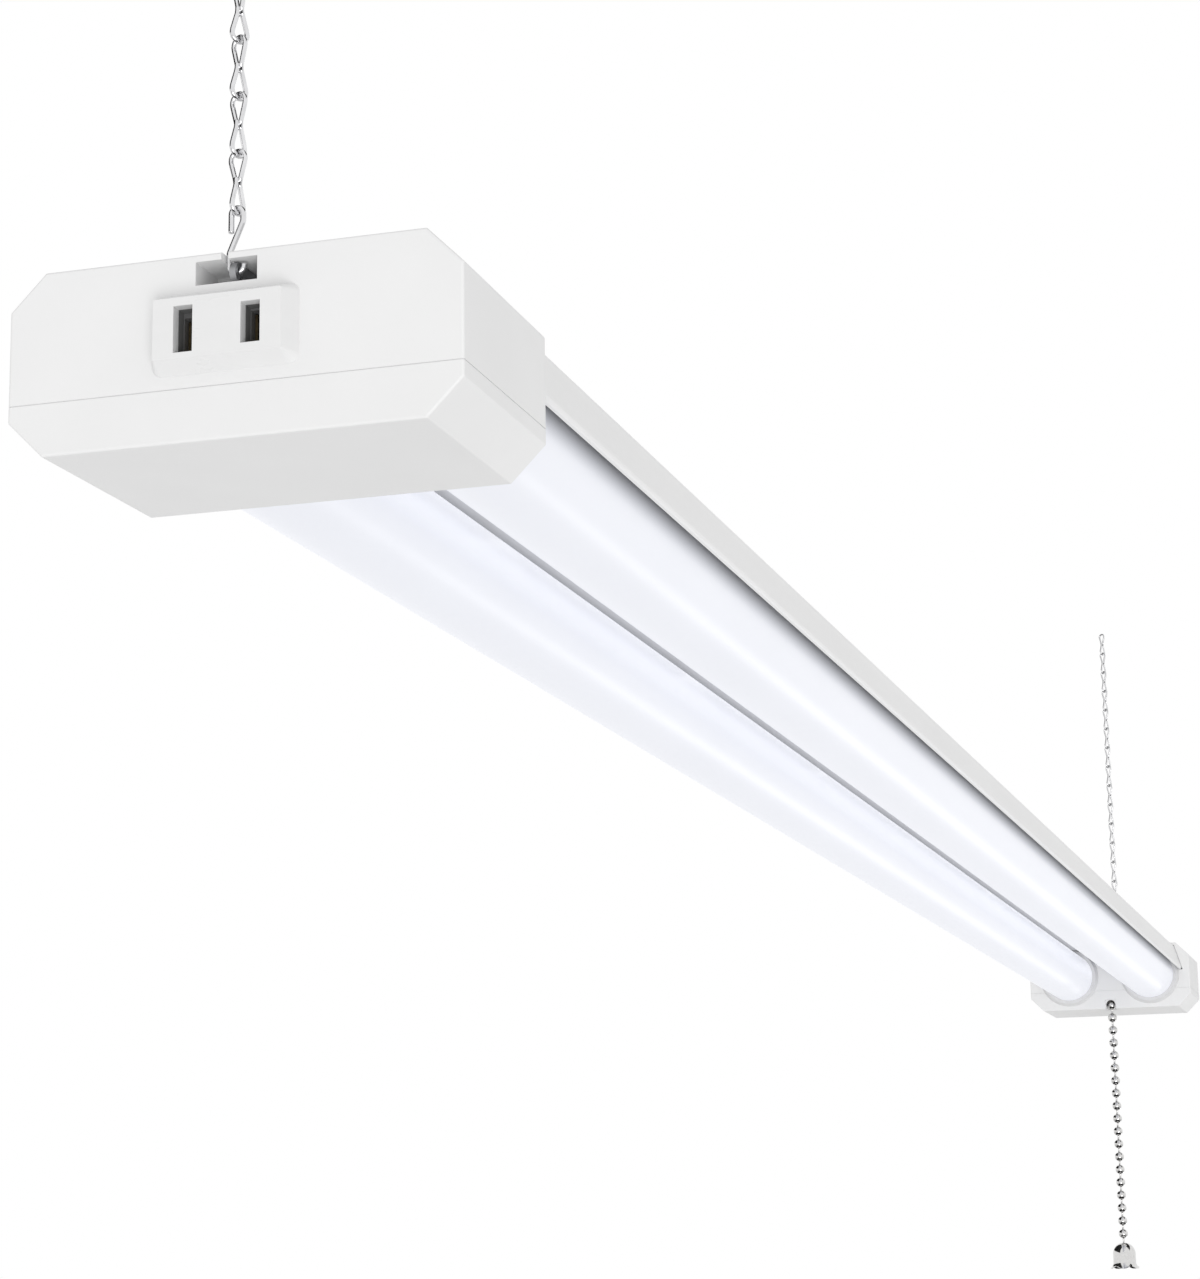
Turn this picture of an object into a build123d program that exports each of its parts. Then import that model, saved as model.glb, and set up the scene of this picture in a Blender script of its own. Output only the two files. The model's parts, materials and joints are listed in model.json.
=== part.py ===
from build123d import *
from math import asin, atan2, cos, degrees, hypot, radians, sin, sqrt, tan
import os

# Four-foot hanging shop light with two frosted LED tubes, a plug socket in one end cap and a
# pull-chain switch in the other.  Millimetres.  X runs along the light, from the socket end (-X)
# to the switch end (+X), and Z is up.  The origin is where the light hangs from: on the line of
# its two ceiling hooks, midway between them.  Heights below are above the end caps' underside.

# ---------------------------------------------------------------- driving dimensions
body_length = 1220.0        # end face to end face
cap_depth = 45.6
cap_chamfer = 6.8           # corner bevels of the end caps
seam_height = 9.9           # joint between a cap's upper shell and its lower cover
end_wall = 2.0              # outer end face of a cap
side_wall = 1.8
top_wall = 1.4
floor_wall = 1.8
inner_wall = 1.8            # cap face towards the tubes
edge_round = 0.5
fit_gap = 0.15              # loose fit between fixed pieces
clip_start = 7.6            # the cover's clips, behind the cap's inner face
clip_end = 7.0              # and short of its end face
clip_rise = 3.1             # above the seam
clip_grip = 4.0             # below it
barb = 0.5

tube_radius = 12.7          # T8 tube, 25.4 mm across
tube_wall = 1.0
tube_low = 5.1              # underside of the tubes
tube_headroom = 1.4         # between the tubes and the sheet over them
tube_into_cap = 5.0
collar_play = 0.05
collar_lip = 3.1            # beyond the tube, against the cap's inner face
collar_tip = 1.8            # beyond the tube, at the collar's tip
collar_sleeve = 0.6         # through the cap's wall
collar_length = 2.5
collar_trim = 0.3           # under the sheet housing
collar_margin = 5.5         # between a collar and the cap's side

sheet = 0.6                 # folded steel housing
housing_depth = 12.8
housing_gap = 0.3           # under the cap's top wall
top_inset = 0.9             # its flat top, inside the cap's bevels
low_inset = 3.8             # its lower edges, inside the cap's sides
lip_width = 1.5
housing_into_cap = 10.6
bend_radius = 1.0

carrier_height = 2.0        # underside of the LED carrier above the tube's axis
carrier_thickness = 1.5
board_thickness = 1.0
board_width = 12.0
strip_end_gap = 3.4         # LED strip ends inside the tube's end
led_count = 96
led_length = 3.5
led_width = 2.8
led_thickness = 0.7

front_y = 1.1               # the socket and the hook pockets sit a little off the middle
pocket_half = 5.85
pocket_depth = 9.5
pocket_wall = 1.2
shank_gap = 0.15            # slot in the cap's top, beside the hook's shank
shank_slot_depth = 6.5

socket_width = 27.8
socket_height = 14.8
socket_drop = 14.6          # its centre below the cap's top
socket_proud = 4.0
socket_bevel = 1.8
socket_corner = 1.9
plateau_corner = 0.35
slot_drop = 0.2             # the slots' centre below the socket's
blade_spacing = 12.7        # polarised two-blade socket
slot_width = 3.6
neutral_slot = 8.5
hot_slot = 7.5
cavity_inset = 0.1          # room behind each slot, narrower by this on each side
cavity_shorter = 0.7        # and lower than the hot slot
neck_side = 2.45            # neck's walls round that room
neck_below = 3.0
neck_above = 1.3
neck_length = 14.0
leaf = 0.5                  # stamped contacts
contact_side_gap = 0.1
contact_end_gap = 0.3
contact_front = 2.0
contact_foot = 1.0          # short of the neck's end
tail_length = 5.0
tail_thickness = 0.8
tail_height = 4.0
rear_cover = 1.6
retainer = 0.8
retainer_groove = 0.6
retainer_half = 15.0
retainer_low = 1.6          # below the neck

wire_rod = 0.9              # jack chain wire
link_inner = 10.9           # inside length of a link
link_play = 0.06            # running gap where two links hang in each other
link_count = 16
loop_radius = 1.6           # wire centreline at the ends of a link
waist_radius = 0.9          # where the wire is wrapped, half way down a link
waist_length = 1.3
leg_gap = 0.1
leg_rise = 0.3
link_turn = -33.6           # how far the links are turned about the vertical
last_link_turn = -15.0
turn_per_link = 6.2

hook_rod = 1.1
hook_height = 11.9          # from the middle of the wire at the bottom to that at the top
hook_tip_drop = 4.4         # the eye's end below the top
hook_neck_drop = 2.5        # the bend on its other side
hook_foot_rise = 3.6        # the bend above the plate
hook_end_rise = 1.4         # the hook's end, above the bottom
hook_bend = 1.6             # radius of the two bends between
eye_gap = 0.1              # beside the link's wire in the hook's eye
bend_gap = 0.25             # beside the hanger plate in the hook's lower bend
hook_gap = 0.28             # over the hook's wire in the plate's hole

hanger = 1.2                # hanger bracket's sheet
hanger_height = 3.9         # its plate, with a round nose
hanger_hole = 1.1           # radius
hanger_step = 2.0           # where it steps up to the cap's top, past the housing's end
hanger_flange = 11.4
hanger_reach = 24.4         # into the housing, from the cap's inner face
hanger_back = 0.9           # its flange ends before the cap
nose_gap = 0.1              # its nose behind the end face
rivet_reach = (18.4, 8.4)   # from the cap's inner face
rivet_radius = 1.6
rivet_head = 3.0
rivet_head_height = 1.0

cap_screw_y = 26.0
cap_screw_depth = 40.0
screw_radius = 1.45
screw_head = 3.0
screw_head_height = 1.8
screw_reach = 2.1           # below the housing's top

bead_radius = 2.4
bead_wall = 0.4
bead_hole = 0.95
bead_pitch = 6.75
bead_count = 19
upper_beads = 9             # beads on the upper stretch of the pull chain
rod_head = 1.05
rod_neck = 0.5
head_play = 0.03
first_bead = 2.2            # height of the top bead's centre
chain_inset = 4.4           # pull chain's axis behind the switch cap's inner face
last_pitch = 7.6
chain_hole_gap = 0.6        # round the bead in the cap's floor
chain_notch = 2.8           # half the notch in the inner face in front of the bead
chain_notch_height = 4.8

bell_radius = 6.0
bell_height = 13.7
bell_flare = 7.7
bell_wall = 0.5
bell_hole = 1.3
bell_straight = 10.4        # where the flare starts, below the bell's top
bell_scallops = 5
scallop_radius = 2.6
bell_seat = 2.95            # bell's top above its bead's centre

case_start = 2.2            # behind the cap's inner face
case_length = 25.0
case_half = 8.0
switch_gap = 1.0            # between the switch and a tube
case_low = 5.4
case_high = 25.4
case_wall = 1.0
case_feet = (9.4, 1.6)      # from its front and its back
slider_rod = 1.1
slider_play = 0.15
arm_half = 2.0
arm_reach = 9.2             # behind the pull chain, as the next four are
pin_reach = 8.2
spring_reach = 4.6
rotor_reach = 16.2
arm_heights = (17.0, 20.0)
pin_height = 18.5
pin_radius = 0.8
spring_radius = 1.95
spring_wire = 0.5
spring_turns = 6
rotor_height = 15.5
rotor_hub = 3.2
rotor_half = 5.0
axle_radius = 1.0
axle_play = 0.05
fork_reach = 9.4
fork_wall = 1.2
fork_y = (2.3, 4.3)
fork_gap = 1.9
fork_slot = 2.8             # half its length
bridge = 0.6
bridge_half = 3.9
contact_heights = (19.0, 20.0)
contact_sides = (2.0, 4.6)
terminal_length = 5.9

grommet_height = 16.0
grommet_neck = 4.85
grommet_flange = 6.0
grommet_flange_thickness = 1.5
grommet_nose = 5.0
cord_radius = 3.3           # bore for the supply cord

block_depths = (20.0, 8.0)  # terminal block, behind the end face
block_y = (15.0, 33.0)
block_high = 12.8
pole_y = (19.5, 28.5)
pole_height = 7.8
clamp_radius = 1.9

driver_depths = (17.5, 39.5)    # LED driver, behind the end face
driver_margin = 7.0         # from the cap's sides
driver_low = 4.2
driver_thickness = 1.6
boss_radius = 2.5
peg_radius = 1.0
peg_rise = 0.6
boss_inset = 3.0
boss_margin = 5.0
capacitor_depth = 28.0
coil_foot_depths = (20.0, 33.0)
coil_core_depths = (22.0, 31.0)
choke_depths = (25.0, 31.0)
pad_depth = 36.8            # where the wires are soldered

wire_radius = 1.0
lead_radius = 0.8
wireway_gap = 0.5           # between the wires and the housing's top
window_gap = 0.4            # round the hanger plate in the cap's inner wall
window_side = 1.0           # beside the wires there
switched_y = 3.2
hot_y = 6.2
neutral_y = 9.2
clip_count = 6
clip_pitch = 170.0

# ---------------------------------------------------------------- places worked out from them
half_length = body_length / 2
inner_face = half_length - cap_depth
tube_y = tube_radius + switch_gap + case_half
tube_height = tube_low + tube_radius
collar_radius = tube_radius + collar_lip
collar_hole = tube_radius + collar_sleeve
cap_width = 2 * (tube_y + collar_radius + collar_margin)
housing_top = tube_height + tube_radius + tube_headroom + sheet
housing_low = housing_top - housing_depth
cap_height = housing_top + housing_gap + top_wall
housing_top_half = cap_width / 2 - cap_chamfer - top_inset
housing_low_half = cap_width / 2 - low_inset
housing_end = inner_face + housing_into_cap
side_slope = (housing_low_half - housing_top_half) / (housing_top - housing_low)
side_run = sqrt(1 + side_slope ** 2)
flange_top = housing_top - sheet
strip_end = inner_face + tube_into_cap - strip_end_gap
hanger_low = housing_top - hanger_height
hole_height = housing_top - hanger_height / 2
hanger_start = inner_face - hanger_reach
rivet_x = [inner_face - reach for reach in rivet_reach]
rivet_y = -(hanger / 2 + hanger_flange) / 2
pocket_floor = hanger_low - fit_gap
wire_half = wire_rod / 2
hook_half = hook_rod / 2
half_eye = hook_half + wire_half + eye_gap
half_bend = hanger / 2 + hook_half + bend_gap
hook_wire_height = hole_height + hanger_hole - hook_gap - hook_half
link_pitch = link_inner - link_play
link_top = [-i * link_pitch for i in range(link_count)]
chain_bottom = link_top[-1] - link_inner
hook_top = chain_bottom + link_play + hook_half
hook_bottom = hook_top - hook_height
base_z = hook_bottom - hook_wire_height
hang_x = half_length - hanger_height / 2 - nose_gap
wireway_height = flange_top - wireway_gap - wire_radius
chain_x = inner_face + chain_inset
case_x = (inner_face + case_start, inner_face + case_start + case_length)
pin_x = chain_x + pin_reach
rotor_x = chain_x + rotor_reach
head_drop = sqrt((bead_radius - bead_wall) ** 2 - bead_hole ** 2)
head_rise = sqrt(rod_head ** 2 - bead_hole ** 2)
head_offset = head_drop - head_rise - head_play
bell_top = first_bead - (bead_count - 1) * bead_pitch - last_pitch + bell_seat
socket_middle = cap_height - socket_drop
slot_middle = socket_middle - slot_drop
cavity_width = slot_width - 2 * cavity_inset
cavity_height = hot_slot - cavity_shorter
contact_width = cavity_width - 2 * contact_side_gap
contact_height = cavity_height - 2 * contact_end_gap
contact_back = neck_length - contact_foot
tail_end = neck_length + tail_length
neck_half = (blade_spacing + cavity_width) / 2 + neck_side
neck_low = slot_middle - cavity_height / 2 - neck_below
neck_high = slot_middle + cavity_height / 2 + neck_above
driver_x = [depth - half_length for depth in driver_depths]
driver_half = cap_width / 2 - driver_margin
boss_y = driver_half - boss_margin
block_x = [half_length - depth for depth in block_depths]
clip_x = (inner_face + clip_start, half_length - clip_end)
clip_top = seam_height + clip_rise
ENDS = ((-1, "socket"), (1, "switch"))
TUBES = ((1, "left"), (-1, "right"))


def up(height):
    """Height above the end caps' underside, as a Z in the light's own frame."""
    return base_z + height


def span(x, y, height, mode=Mode.ADD):
    """Box between two X, two Y and two heights."""
    centre = ((x[0] + x[1]) / 2, (y[0] + y[1]) / 2, up((height[0] + height[1]) / 2))
    with Locations(centre):
        Box(abs(x[1] - x[0]), abs(y[1] - y[0]), abs(height[1] - height[0]), mode=mode)


def behind(side, depths):
    """Two X values from two depths behind an end face."""
    return sorted(side * (half_length - depth) for depth in depths)


def end_span(side, depths, y, height, mode=Mode.ADD):
    """Box between two depths behind an end face."""
    span(behind(side, depths), y, height, mode)


def prism(x, outline, mode=Mode.ADD):
    """Outline of (y, height) points carried from one X to another."""
    with BuildSketch(Plane.YZ.offset(min(x))) as profile:
        with BuildLine():
            Polyline(*[(y, up(height)) for y, height in outline], close=True)
        make_face()
    extrude(profile.sketch, amount=abs(x[1] - x[0]), mode=mode)


def both_sides(right):
    """Outline from its right half, mirrored about the middle."""
    return right + [(-y, height) for y, height in reversed(right)]


def upper_outline(side_inset, top_inset, low):
    """Upper part of a cap's outline, moved inwards by its walls."""
    half = cap_width / 2 - side_inset
    top = cap_height - top_inset
    cut = cap_chamfer - (2 - sqrt(2)) * (side_inset + top_inset) / 2
    return both_sides([(half, low), (half, top - cut), (half - cut, top)])


def lower_outline(side_inset, floor_inset, high):
    """Lower part of a cap's outline, moved inwards by its walls."""
    half = cap_width / 2 - side_inset
    cut = cap_chamfer - (2 - sqrt(2)) * (side_inset + floor_inset) / 2
    return both_sides([(half - cut, floor_inset), (half, floor_inset + cut), (half, high)])


def housing_half(height, offset):
    """Half width of the sheet housing's outside at a height, moved out by an offset."""
    return housing_top_half + side_slope * (housing_top - height) + offset * side_run


def pole(x, y, heights, radius, mode=Mode.ADD):
    """Upright cylinder between two heights."""
    with Locations((x, y, up((heights[0] + heights[1]) / 2))):
        Cylinder(radius, abs(heights[1] - heights[0]), mode=mode)


def bar_x(x, y, height, radius, mode=Mode.ADD):
    """Cylinder along X."""
    with Locations(Location(((x[0] + x[1]) / 2, y, up(height)), (0, 90, 0))):
        Cylinder(radius, abs(x[1] - x[0]), mode=mode)


def bar_y(x, y, height, radius, mode=Mode.ADD):
    """Cylinder along Y."""
    with Locations(Location((x, (y[0] + y[1]) / 2, up(height)), (90, 0, 0))):
        Cylinder(radius, abs(y[1] - y[0]), mode=mode)


def tube_holes(x, radius, mode=Mode.SUBTRACT):
    """Round holes for both tubes."""
    for tube_side, _ in TUBES:
        bar_x(x, tube_side * tube_y, tube_height, radius, mode)


def wire(points, radius):
    """Round wire along straight runs joined by arcs as large as the runs allow."""
    places = [Vector(x, y, up(height)) for x, y, height in points]
    radii = []
    for before, corner, after in zip(places, places[1:], places[2:]):
        turn = radians((corner - before).get_angle(after - corner))
        shorter = min((corner - before).length, (after - corner).length)
        radii.append(0.45 * shorter / tan(turn / 2))
    with BuildLine() as route:
        FilletPolyline(*places, radius=radii)
    path = route.wires()[0]
    with BuildSketch(Plane(origin=path @ 0, z_dir=path % 0)) as section:
        Circle(radius)
    sweep(section.sketch, path=path)


def keep(builder, name):
    """Label a finished piece and write it."""
    builder.part.label = name
    export_step(builder.part, f"parts/{name}.step")


# ---------------------------------------------------------------- sheet housing
with BuildPart() as channel_housing:
    with BuildSketch(Plane.YZ.offset(-housing_end)) as housing_profile:
        with BuildLine():
            Polyline(*[(y, up(height)) for y, height in both_sides([
                (housing_low_half - lip_width, housing_low + sheet),
                (housing_low_half - lip_width, housing_low),
                (housing_half(housing_low, 0), housing_low),
                (housing_half(housing_top, 0), housing_top),
            ])] + [(y, up(height)) for y, height in reversed(both_sides([
                (housing_half(housing_low + sheet, -sheet), housing_low + sheet),
                (housing_half(housing_top - sheet, -sheet), housing_top - sheet),
            ]))], close=True)
        make_face()
        bends = housing_profile.vertices().filter_by(
            lambda v: abs(v.Y - up(housing_top)) < 0.01
            or (abs(v.Y - up(housing_low)) < 0.01 and abs(v.X) > housing_low_half - 0.5)
            or abs(v.Z - up(housing_top)) < 0.01
            or (abs(v.Z - up(housing_low)) < 0.01 and abs(v.Y) > housing_low_half - 0.5))
        fillet(bends, bend_radius)
    extrude(amount=2 * housing_end)
    for side, _ in ENDS:
        screw_x = side * (half_length - cap_screw_depth)
        for y in (-cap_screw_y, cap_screw_y):
            pole(screw_x, y, (housing_top - 2 * sheet, housing_top + sheet), screw_radius, Mode.SUBTRACT)
        for x in rivet_x:
            pole(side * x, rivet_y, (housing_top - 2 * sheet, housing_top + sheet), rivet_radius,
                 Mode.SUBTRACT)
keep(channel_housing, "channel_housing")

# ---------------------------------------------------------------- frosted tubes and LED strips
tube_end = inner_face + tube_into_cap
carrier_top = carrier_height + carrier_thickness
tube_bore = tube_radius - tube_wall
carrier_half = sqrt(tube_bore ** 2 - carrier_top ** 2) - 0.05
for tube_side, name in TUBES:
    y = tube_side * tube_y
    with BuildPart() as tube:
        bar_x((-tube_end, tube_end), y, tube_height, tube_radius)
        bar_x((-tube_end, tube_end), y, tube_height, tube_bore, Mode.SUBTRACT)
    keep(tube, f"{name}_tube_lens")

    with BuildPart() as carrier:
        plate = (tube_height + carrier_height, tube_height + carrier_top)
        span((-strip_end, strip_end), (y - carrier_half, y + carrier_half), plate)
        rib_top = tube_height + tube_bore - 0.1
        half_rib = carrier_thickness / 2
        span((-strip_end, strip_end), (y - half_rib, y + half_rib), (plate[1], rib_top))
    keep(carrier, f"{name}_led_carrier")

    board_low = tube_height + carrier_height - board_thickness
    with BuildPart() as board:
        half = board_width / 2
        span((-strip_end, strip_end), (y - half, y + half), (board_low, plate[0]))
    keep(board, f"{name}_led_board")

    with BuildPart() as leds:
        with Locations((0, y, up(board_low - led_thickness / 2))):
            with GridLocations(2 * strip_end / led_count, 1, led_count, 1):
                Box(led_length, led_width, led_thickness)
    keep(leds, f"{name}_leds")

# ---------------------------------------------------------------- collars round the tube ends
for side, end in ENDS:
    face_x = side * inner_face
    wall_x = side * (inner_face + inner_wall)
    tip_x = side * (inner_face - collar_length)
    for tube_side, name in TUBES:
        y = tube_side * tube_y
        bore = tube_radius + collar_play
        with BuildPart() as collar:
            with BuildSketch(Plane.XY.offset(up(tube_height))):
                with BuildLine():
                    Polyline((wall_x, y + bore), (tip_x, y + bore), (tip_x, y + tube_radius + collar_tip),
                             (face_x, y + collar_radius), (face_x, y + collar_hole),
                             (wall_x, y + collar_hole), close=True)
                make_face()
            revolve(axis=Axis((0, y, up(tube_height)), (1, 0, 0)))
            trim = flange_top - collar_trim
            span((tip_x, wall_x), (y - collar_radius, y + collar_radius), (trim, trim + collar_radius),
                 Mode.SUBTRACT)
        keep(collar, f"{end}_end_{name}_collar")

# ---------------------------------------------------------------- end caps
window = (-hanger / 2 - window_gap, neutral_y + wire_radius + window_side)
window_low = hanger_low - window_gap
tube_hole = collar_hole + 0.02
for side, end in ENDS:
    cap_x = (side * inner_face, side * half_length)
    inner_x = (side * (inner_face - 1), side * (inner_face + inner_wall))
    hollow_x = (side * (inner_face + inner_wall), side * (half_length - end_wall))
    outer_half = cap_width / 2 - side_wall

    with BuildPart() as shell:
        prism(cap_x, upper_outline(0, 0, seam_height))
        rims = [edge for edge in shell.edges() if edge.center().Z > up(seam_height) + 0.1]
        fillet(rims, edge_round)
        prism(hollow_x, upper_outline(side_wall, top_wall, seam_height), Mode.SUBTRACT)
        # slot for the housing's sheet, round holes for the collars, window for wires and hanger
        outside = [(housing_half(housing_low - fit_gap, fit_gap), housing_low - fit_gap),
                   (housing_half(housing_top + fit_gap, fit_gap), housing_top + fit_gap)]
        inside = [(housing_half(housing_low + sheet + fit_gap, -sheet - fit_gap),
                   housing_low + sheet + fit_gap),
                  (housing_half(housing_top - sheet - fit_gap, -sheet - fit_gap),
                   housing_top - sheet - fit_gap)]
        lip_end = housing_low_half - lip_width - fit_gap
        slot = both_sides([(lip_end, housing_low + sheet + fit_gap), (lip_end, housing_low - fit_gap)]
                          + outside)
        prism(inner_x, slot + list(reversed(both_sides(inside))), Mode.SUBTRACT)
        tube_holes(inner_x, tube_hole)
        span(inner_x, window, (window_low, housing_top - sheet), Mode.SUBTRACT)
        # hook pocket with its own walls, open at the end face
        box_y = (front_y - pocket_half - pocket_wall, front_y + pocket_half + pocket_wall)
        end_span(side, (end_wall, pocket_depth + pocket_wall), box_y,
                 (pocket_floor - pocket_wall, cap_height - top_wall))
        end_span(side, (-1, pocket_depth), (front_y - pocket_half, front_y + pocket_half),
                 (pocket_floor, cap_height - top_wall), Mode.SUBTRACT)
        end_span(side, (pocket_depth - 1, pocket_depth + pocket_wall + 0.1),
                 (-hanger / 2 - fit_gap, hanger / 2 + fit_gap), (hanger_low - fit_gap, cap_height - top_wall),
                 Mode.SUBTRACT)
        shank_room = hook_half + shank_gap
        end_span(side, (-1, shank_slot_depth), (half_bend - shank_room, half_bend + shank_room),
                 (cap_height - 2 * top_wall, cap_height + 1), Mode.SUBTRACT)
        # screw holes in the top and catches for the cover's clips
        for y in (-cap_screw_y, cap_screw_y):
            pole(side * (half_length - cap_screw_depth), y, (cap_height - 2 * top_wall, cap_height + 1),
                 screw_radius + fit_gap, Mode.SUBTRACT)
        catch_x = [side * (x + sign * fit_gap) for x, sign in zip(clip_x, (-1, 1))]
        for sign in (-1, 1):
            catch_y = sorted((sign * (outer_half - 1), sign * (outer_half + barb + fit_gap)))
            span(catch_x, catch_y, (clip_top - 1.7, clip_top), Mode.SUBTRACT)
        if end == "socket":
            end_span(side, (-1, end_wall + 0.5),
                     (front_y - neck_half - fit_gap, front_y + neck_half + fit_gap),
                     (neck_low - fit_gap, neck_high + fit_gap), Mode.SUBTRACT)
        else:
            bar_x(behind(side, (-1, end_wall + 1)), front_y, grommet_height, grommet_neck + 0.05,
                  Mode.SUBTRACT)
    keep(shell, f"{end}_cap_shell")

    with BuildPart() as cover:
        prism(cap_x, lower_outline(0, 0, seam_height))
        rims = [edge for edge in cover.edges() if edge.center().Z < up(seam_height) - 0.1]
        fillet(rims, edge_round)
        chamfer(cover.edges().group_by(Axis.Z)[-1], 0.2)
        prism(hollow_x, lower_outline(side_wall, floor_wall, seam_height), Mode.SUBTRACT)
        tube_holes(inner_x, tube_hole)
        for sign in (-1, 1):
            clip_y = sorted((sign * (outer_half - 1.15), sign * (outer_half - fit_gap)))
            span([side * x for x in clip_x], clip_y, (seam_height - clip_grip, clip_top - 0.3))
            root_y = sorted((sign * (outer_half - 0.5), sign * (outer_half + 0.1)))
            span([side * x for x in clip_x], root_y, (seam_height - clip_grip, seam_height - 0.4))
            barb_y = sorted((sign * (outer_half - 0.5), sign * (outer_half + barb)))
            span([side * x for x in clip_x], barb_y, (clip_top - 1.3, clip_top - 0.3))
        if end == "socket":
            for x in (driver_x[0] + boss_inset, driver_x[1] - boss_inset):
                for y in (-boss_y, boss_y):
                    pole(x, y, (floor_wall, driver_low), boss_radius)
                    pole(x, y, (driver_low, driver_low + driver_thickness + peg_rise), peg_radius)
        else:
            pole(chain_x, 0, (-1, floor_wall + 0.1), bead_radius + chain_hole_gap, Mode.SUBTRACT)
            span((inner_face - 1, chain_x), (-chain_notch, chain_notch), (-1, chain_notch_height),
                 Mode.SUBTRACT)
            for y in (-case_half + 1.5, case_half - 1.5):
                span((case_x[0] + case_feet[0], case_x[1] - case_feet[1]), (y - 1, y + 1),
                     (floor_wall, case_low))
    keep(cover, f"{end}_cap_cover")

    with BuildPart() as screws:
        for y in (-cap_screw_y, cap_screw_y):
            x = side * (half_length - cap_screw_depth)
            pole(x, y, (housing_top - screw_reach, cap_height), screw_radius)
            with Locations((x, y, up(cap_height))):
                Cone(screw_head, screw_head - 0.8, screw_head_height,
                     align=(Align.CENTER, Align.CENTER, Align.MIN))
                with Locations((0, 0, screw_head_height)):
                    Box(4.0, 0.7, 1.4, mode=Mode.SUBTRACT)
                    Box(0.7, 4.0, 1.4, mode=Mode.SUBTRACT)
    keep(screws, f"{end}_cap_screws")

# ---------------------------------------------------------------- hanger brackets
step_x = housing_end + hanger_step
for side, end in ENDS:
    with BuildPart() as bracket:
        with BuildSketch(Plane.XZ.offset(-hanger / 2)):
            with BuildLine():
                nose = [(side * x, up(height)) for x, height in (
                    (hang_x, hanger_low), (hang_x + hanger_height / 2, hole_height), (hang_x, housing_top))]
                ThreePointArc(*nose)
                Polyline(nose[2], *[(side * x, up(height)) for x, height in (
                    (step_x, housing_top), (step_x - sheet, flange_top), (hanger_start, flange_top),
                    (hanger_start, hanger_low))], nose[0])
            make_face()
        extrude(amount=hanger)
        span((side * hanger_start, side * (inner_face - hanger_back)), (-hanger_flange, hanger / 2),
             (flange_top - hanger, flange_top))
        bar_y(side * hang_x, (-hanger, hanger), hole_height, hanger_hole, Mode.SUBTRACT)
        for x in rivet_x:
            pole(side * x, rivet_y, (flange_top - 2 * hanger, flange_top + 1), rivet_radius, Mode.SUBTRACT)
    keep(bracket, f"{end}_hanger_bracket")

with BuildPart() as hanger_rivets:
    for side, _ in ENDS:
        for x in rivet_x:
            low = flange_top - hanger
            pole(side * x, rivet_y, (low, housing_top), rivet_radius)
            pole(side * x, rivet_y, (low - rivet_head_height, low), rivet_head - 0.4)
            with Locations((side * x, rivet_y, up(housing_top))):
                Cone(rivet_head, rivet_head - 1.0, rivet_head_height,
                     align=(Align.CENTER, Align.CENTER, Align.MIN))
keep(hanger_rivets, "hanger_rivets")

# ---------------------------------------------------------------- plug socket in the near cap
front_x = -half_length
neutral_place = front_y + blade_spacing / 2
hot_place = front_y - blade_spacing / 2
with BuildPart() as outlet_block:
    with BuildSketch(Plane.YZ.offset(front_x)):
        with Locations((front_y, up(socket_middle))):
            RectangleRounded(socket_width, socket_height, socket_corner)
    with BuildSketch(Plane.YZ.offset(front_x - socket_proud)):
        with Locations((front_y, up(socket_middle))):
            RectangleRounded(socket_width - 2 * socket_bevel, socket_height - 2 * socket_bevel,
                             plateau_corner)
    loft()
    end_span(-1, (0, neck_length), (front_y - neck_half, front_y + neck_half), (neck_low, neck_high))
    for sign in (-1, 1):
        edge = front_y + sign * neck_half
        groove = sorted((edge - sign * retainer_groove, edge + sign))
        end_span(-1, (end_wall, end_wall + retainer), groove, (neck_low - 1, neck_high + 1), Mode.SUBTRACT)
    for place, slot_height in ((neutral_place, neutral_slot), (hot_place, hot_slot)):
        slot_y = (place - slot_width / 2, place + slot_width / 2)
        slot_z = (slot_middle - slot_height / 2, slot_middle + slot_height / 2)
        end_span(-1, (-socket_proud - 1, 0.5), slot_y, slot_z, Mode.SUBTRACT)
        cavity_y = (place - cavity_width / 2, place + cavity_width / 2)
        cavity_z = (slot_middle - cavity_height / 2, slot_middle + cavity_height / 2)
        end_span(-1, (0.4, neck_length + 1), cavity_y, cavity_z, Mode.SUBTRACT)
keep(outlet_block, "outlet_block")

for place, name in ((neutral_place, "neutral"), (hot_place, "hot")):
    with BuildPart() as contact:
        outer = (place - contact_width / 2, place + contact_width / 2)
        height = (slot_middle - contact_height / 2, slot_middle + contact_height / 2)
        end_span(-1, (contact_front, contact_back), outer, height)
        end_span(-1, (contact_front - 1, contact_back - leaf), (outer[0] + leaf, outer[1] - leaf),
                 (height[0] - 1, height[1] + 1), Mode.SUBTRACT)
        end_span(-1, (contact_back, tail_end), (place - tail_thickness / 2, place + tail_thickness / 2),
                 (slot_middle - tail_height / 2, slot_middle + tail_height / 2))
    keep(contact, f"outlet_{name}_contact")

with BuildPart() as outlet_rear_cover:
    end_span(-1, (neck_length, neck_length + rear_cover),
             (front_y - neck_half, front_y + neck_half), (neck_low, neck_high))
    for place in (neutral_place, hot_place):
        end_span(-1, (neck_length - 1, neck_length + rear_cover + 1),
                 (place - tail_thickness / 2, place + tail_thickness / 2),
                 (slot_middle - tail_height / 2, slot_middle + tail_height / 2), Mode.SUBTRACT)
keep(outlet_rear_cover, "outlet_rear_cover")

with BuildPart() as outlet_retainer:
    window_half = neck_half - retainer_groove
    end_span(-1, (end_wall, end_wall + retainer), (front_y - retainer_half, front_y + retainer_half),
             (neck_low - retainer_low, neck_high))
    end_span(-1, (end_wall - 1, end_wall + retainer + 1),
             (front_y - window_half, front_y + window_half), (neck_low, neck_high + 1), Mode.SUBTRACT)
keep(outlet_retainer, "outlet_retainer")

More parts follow.
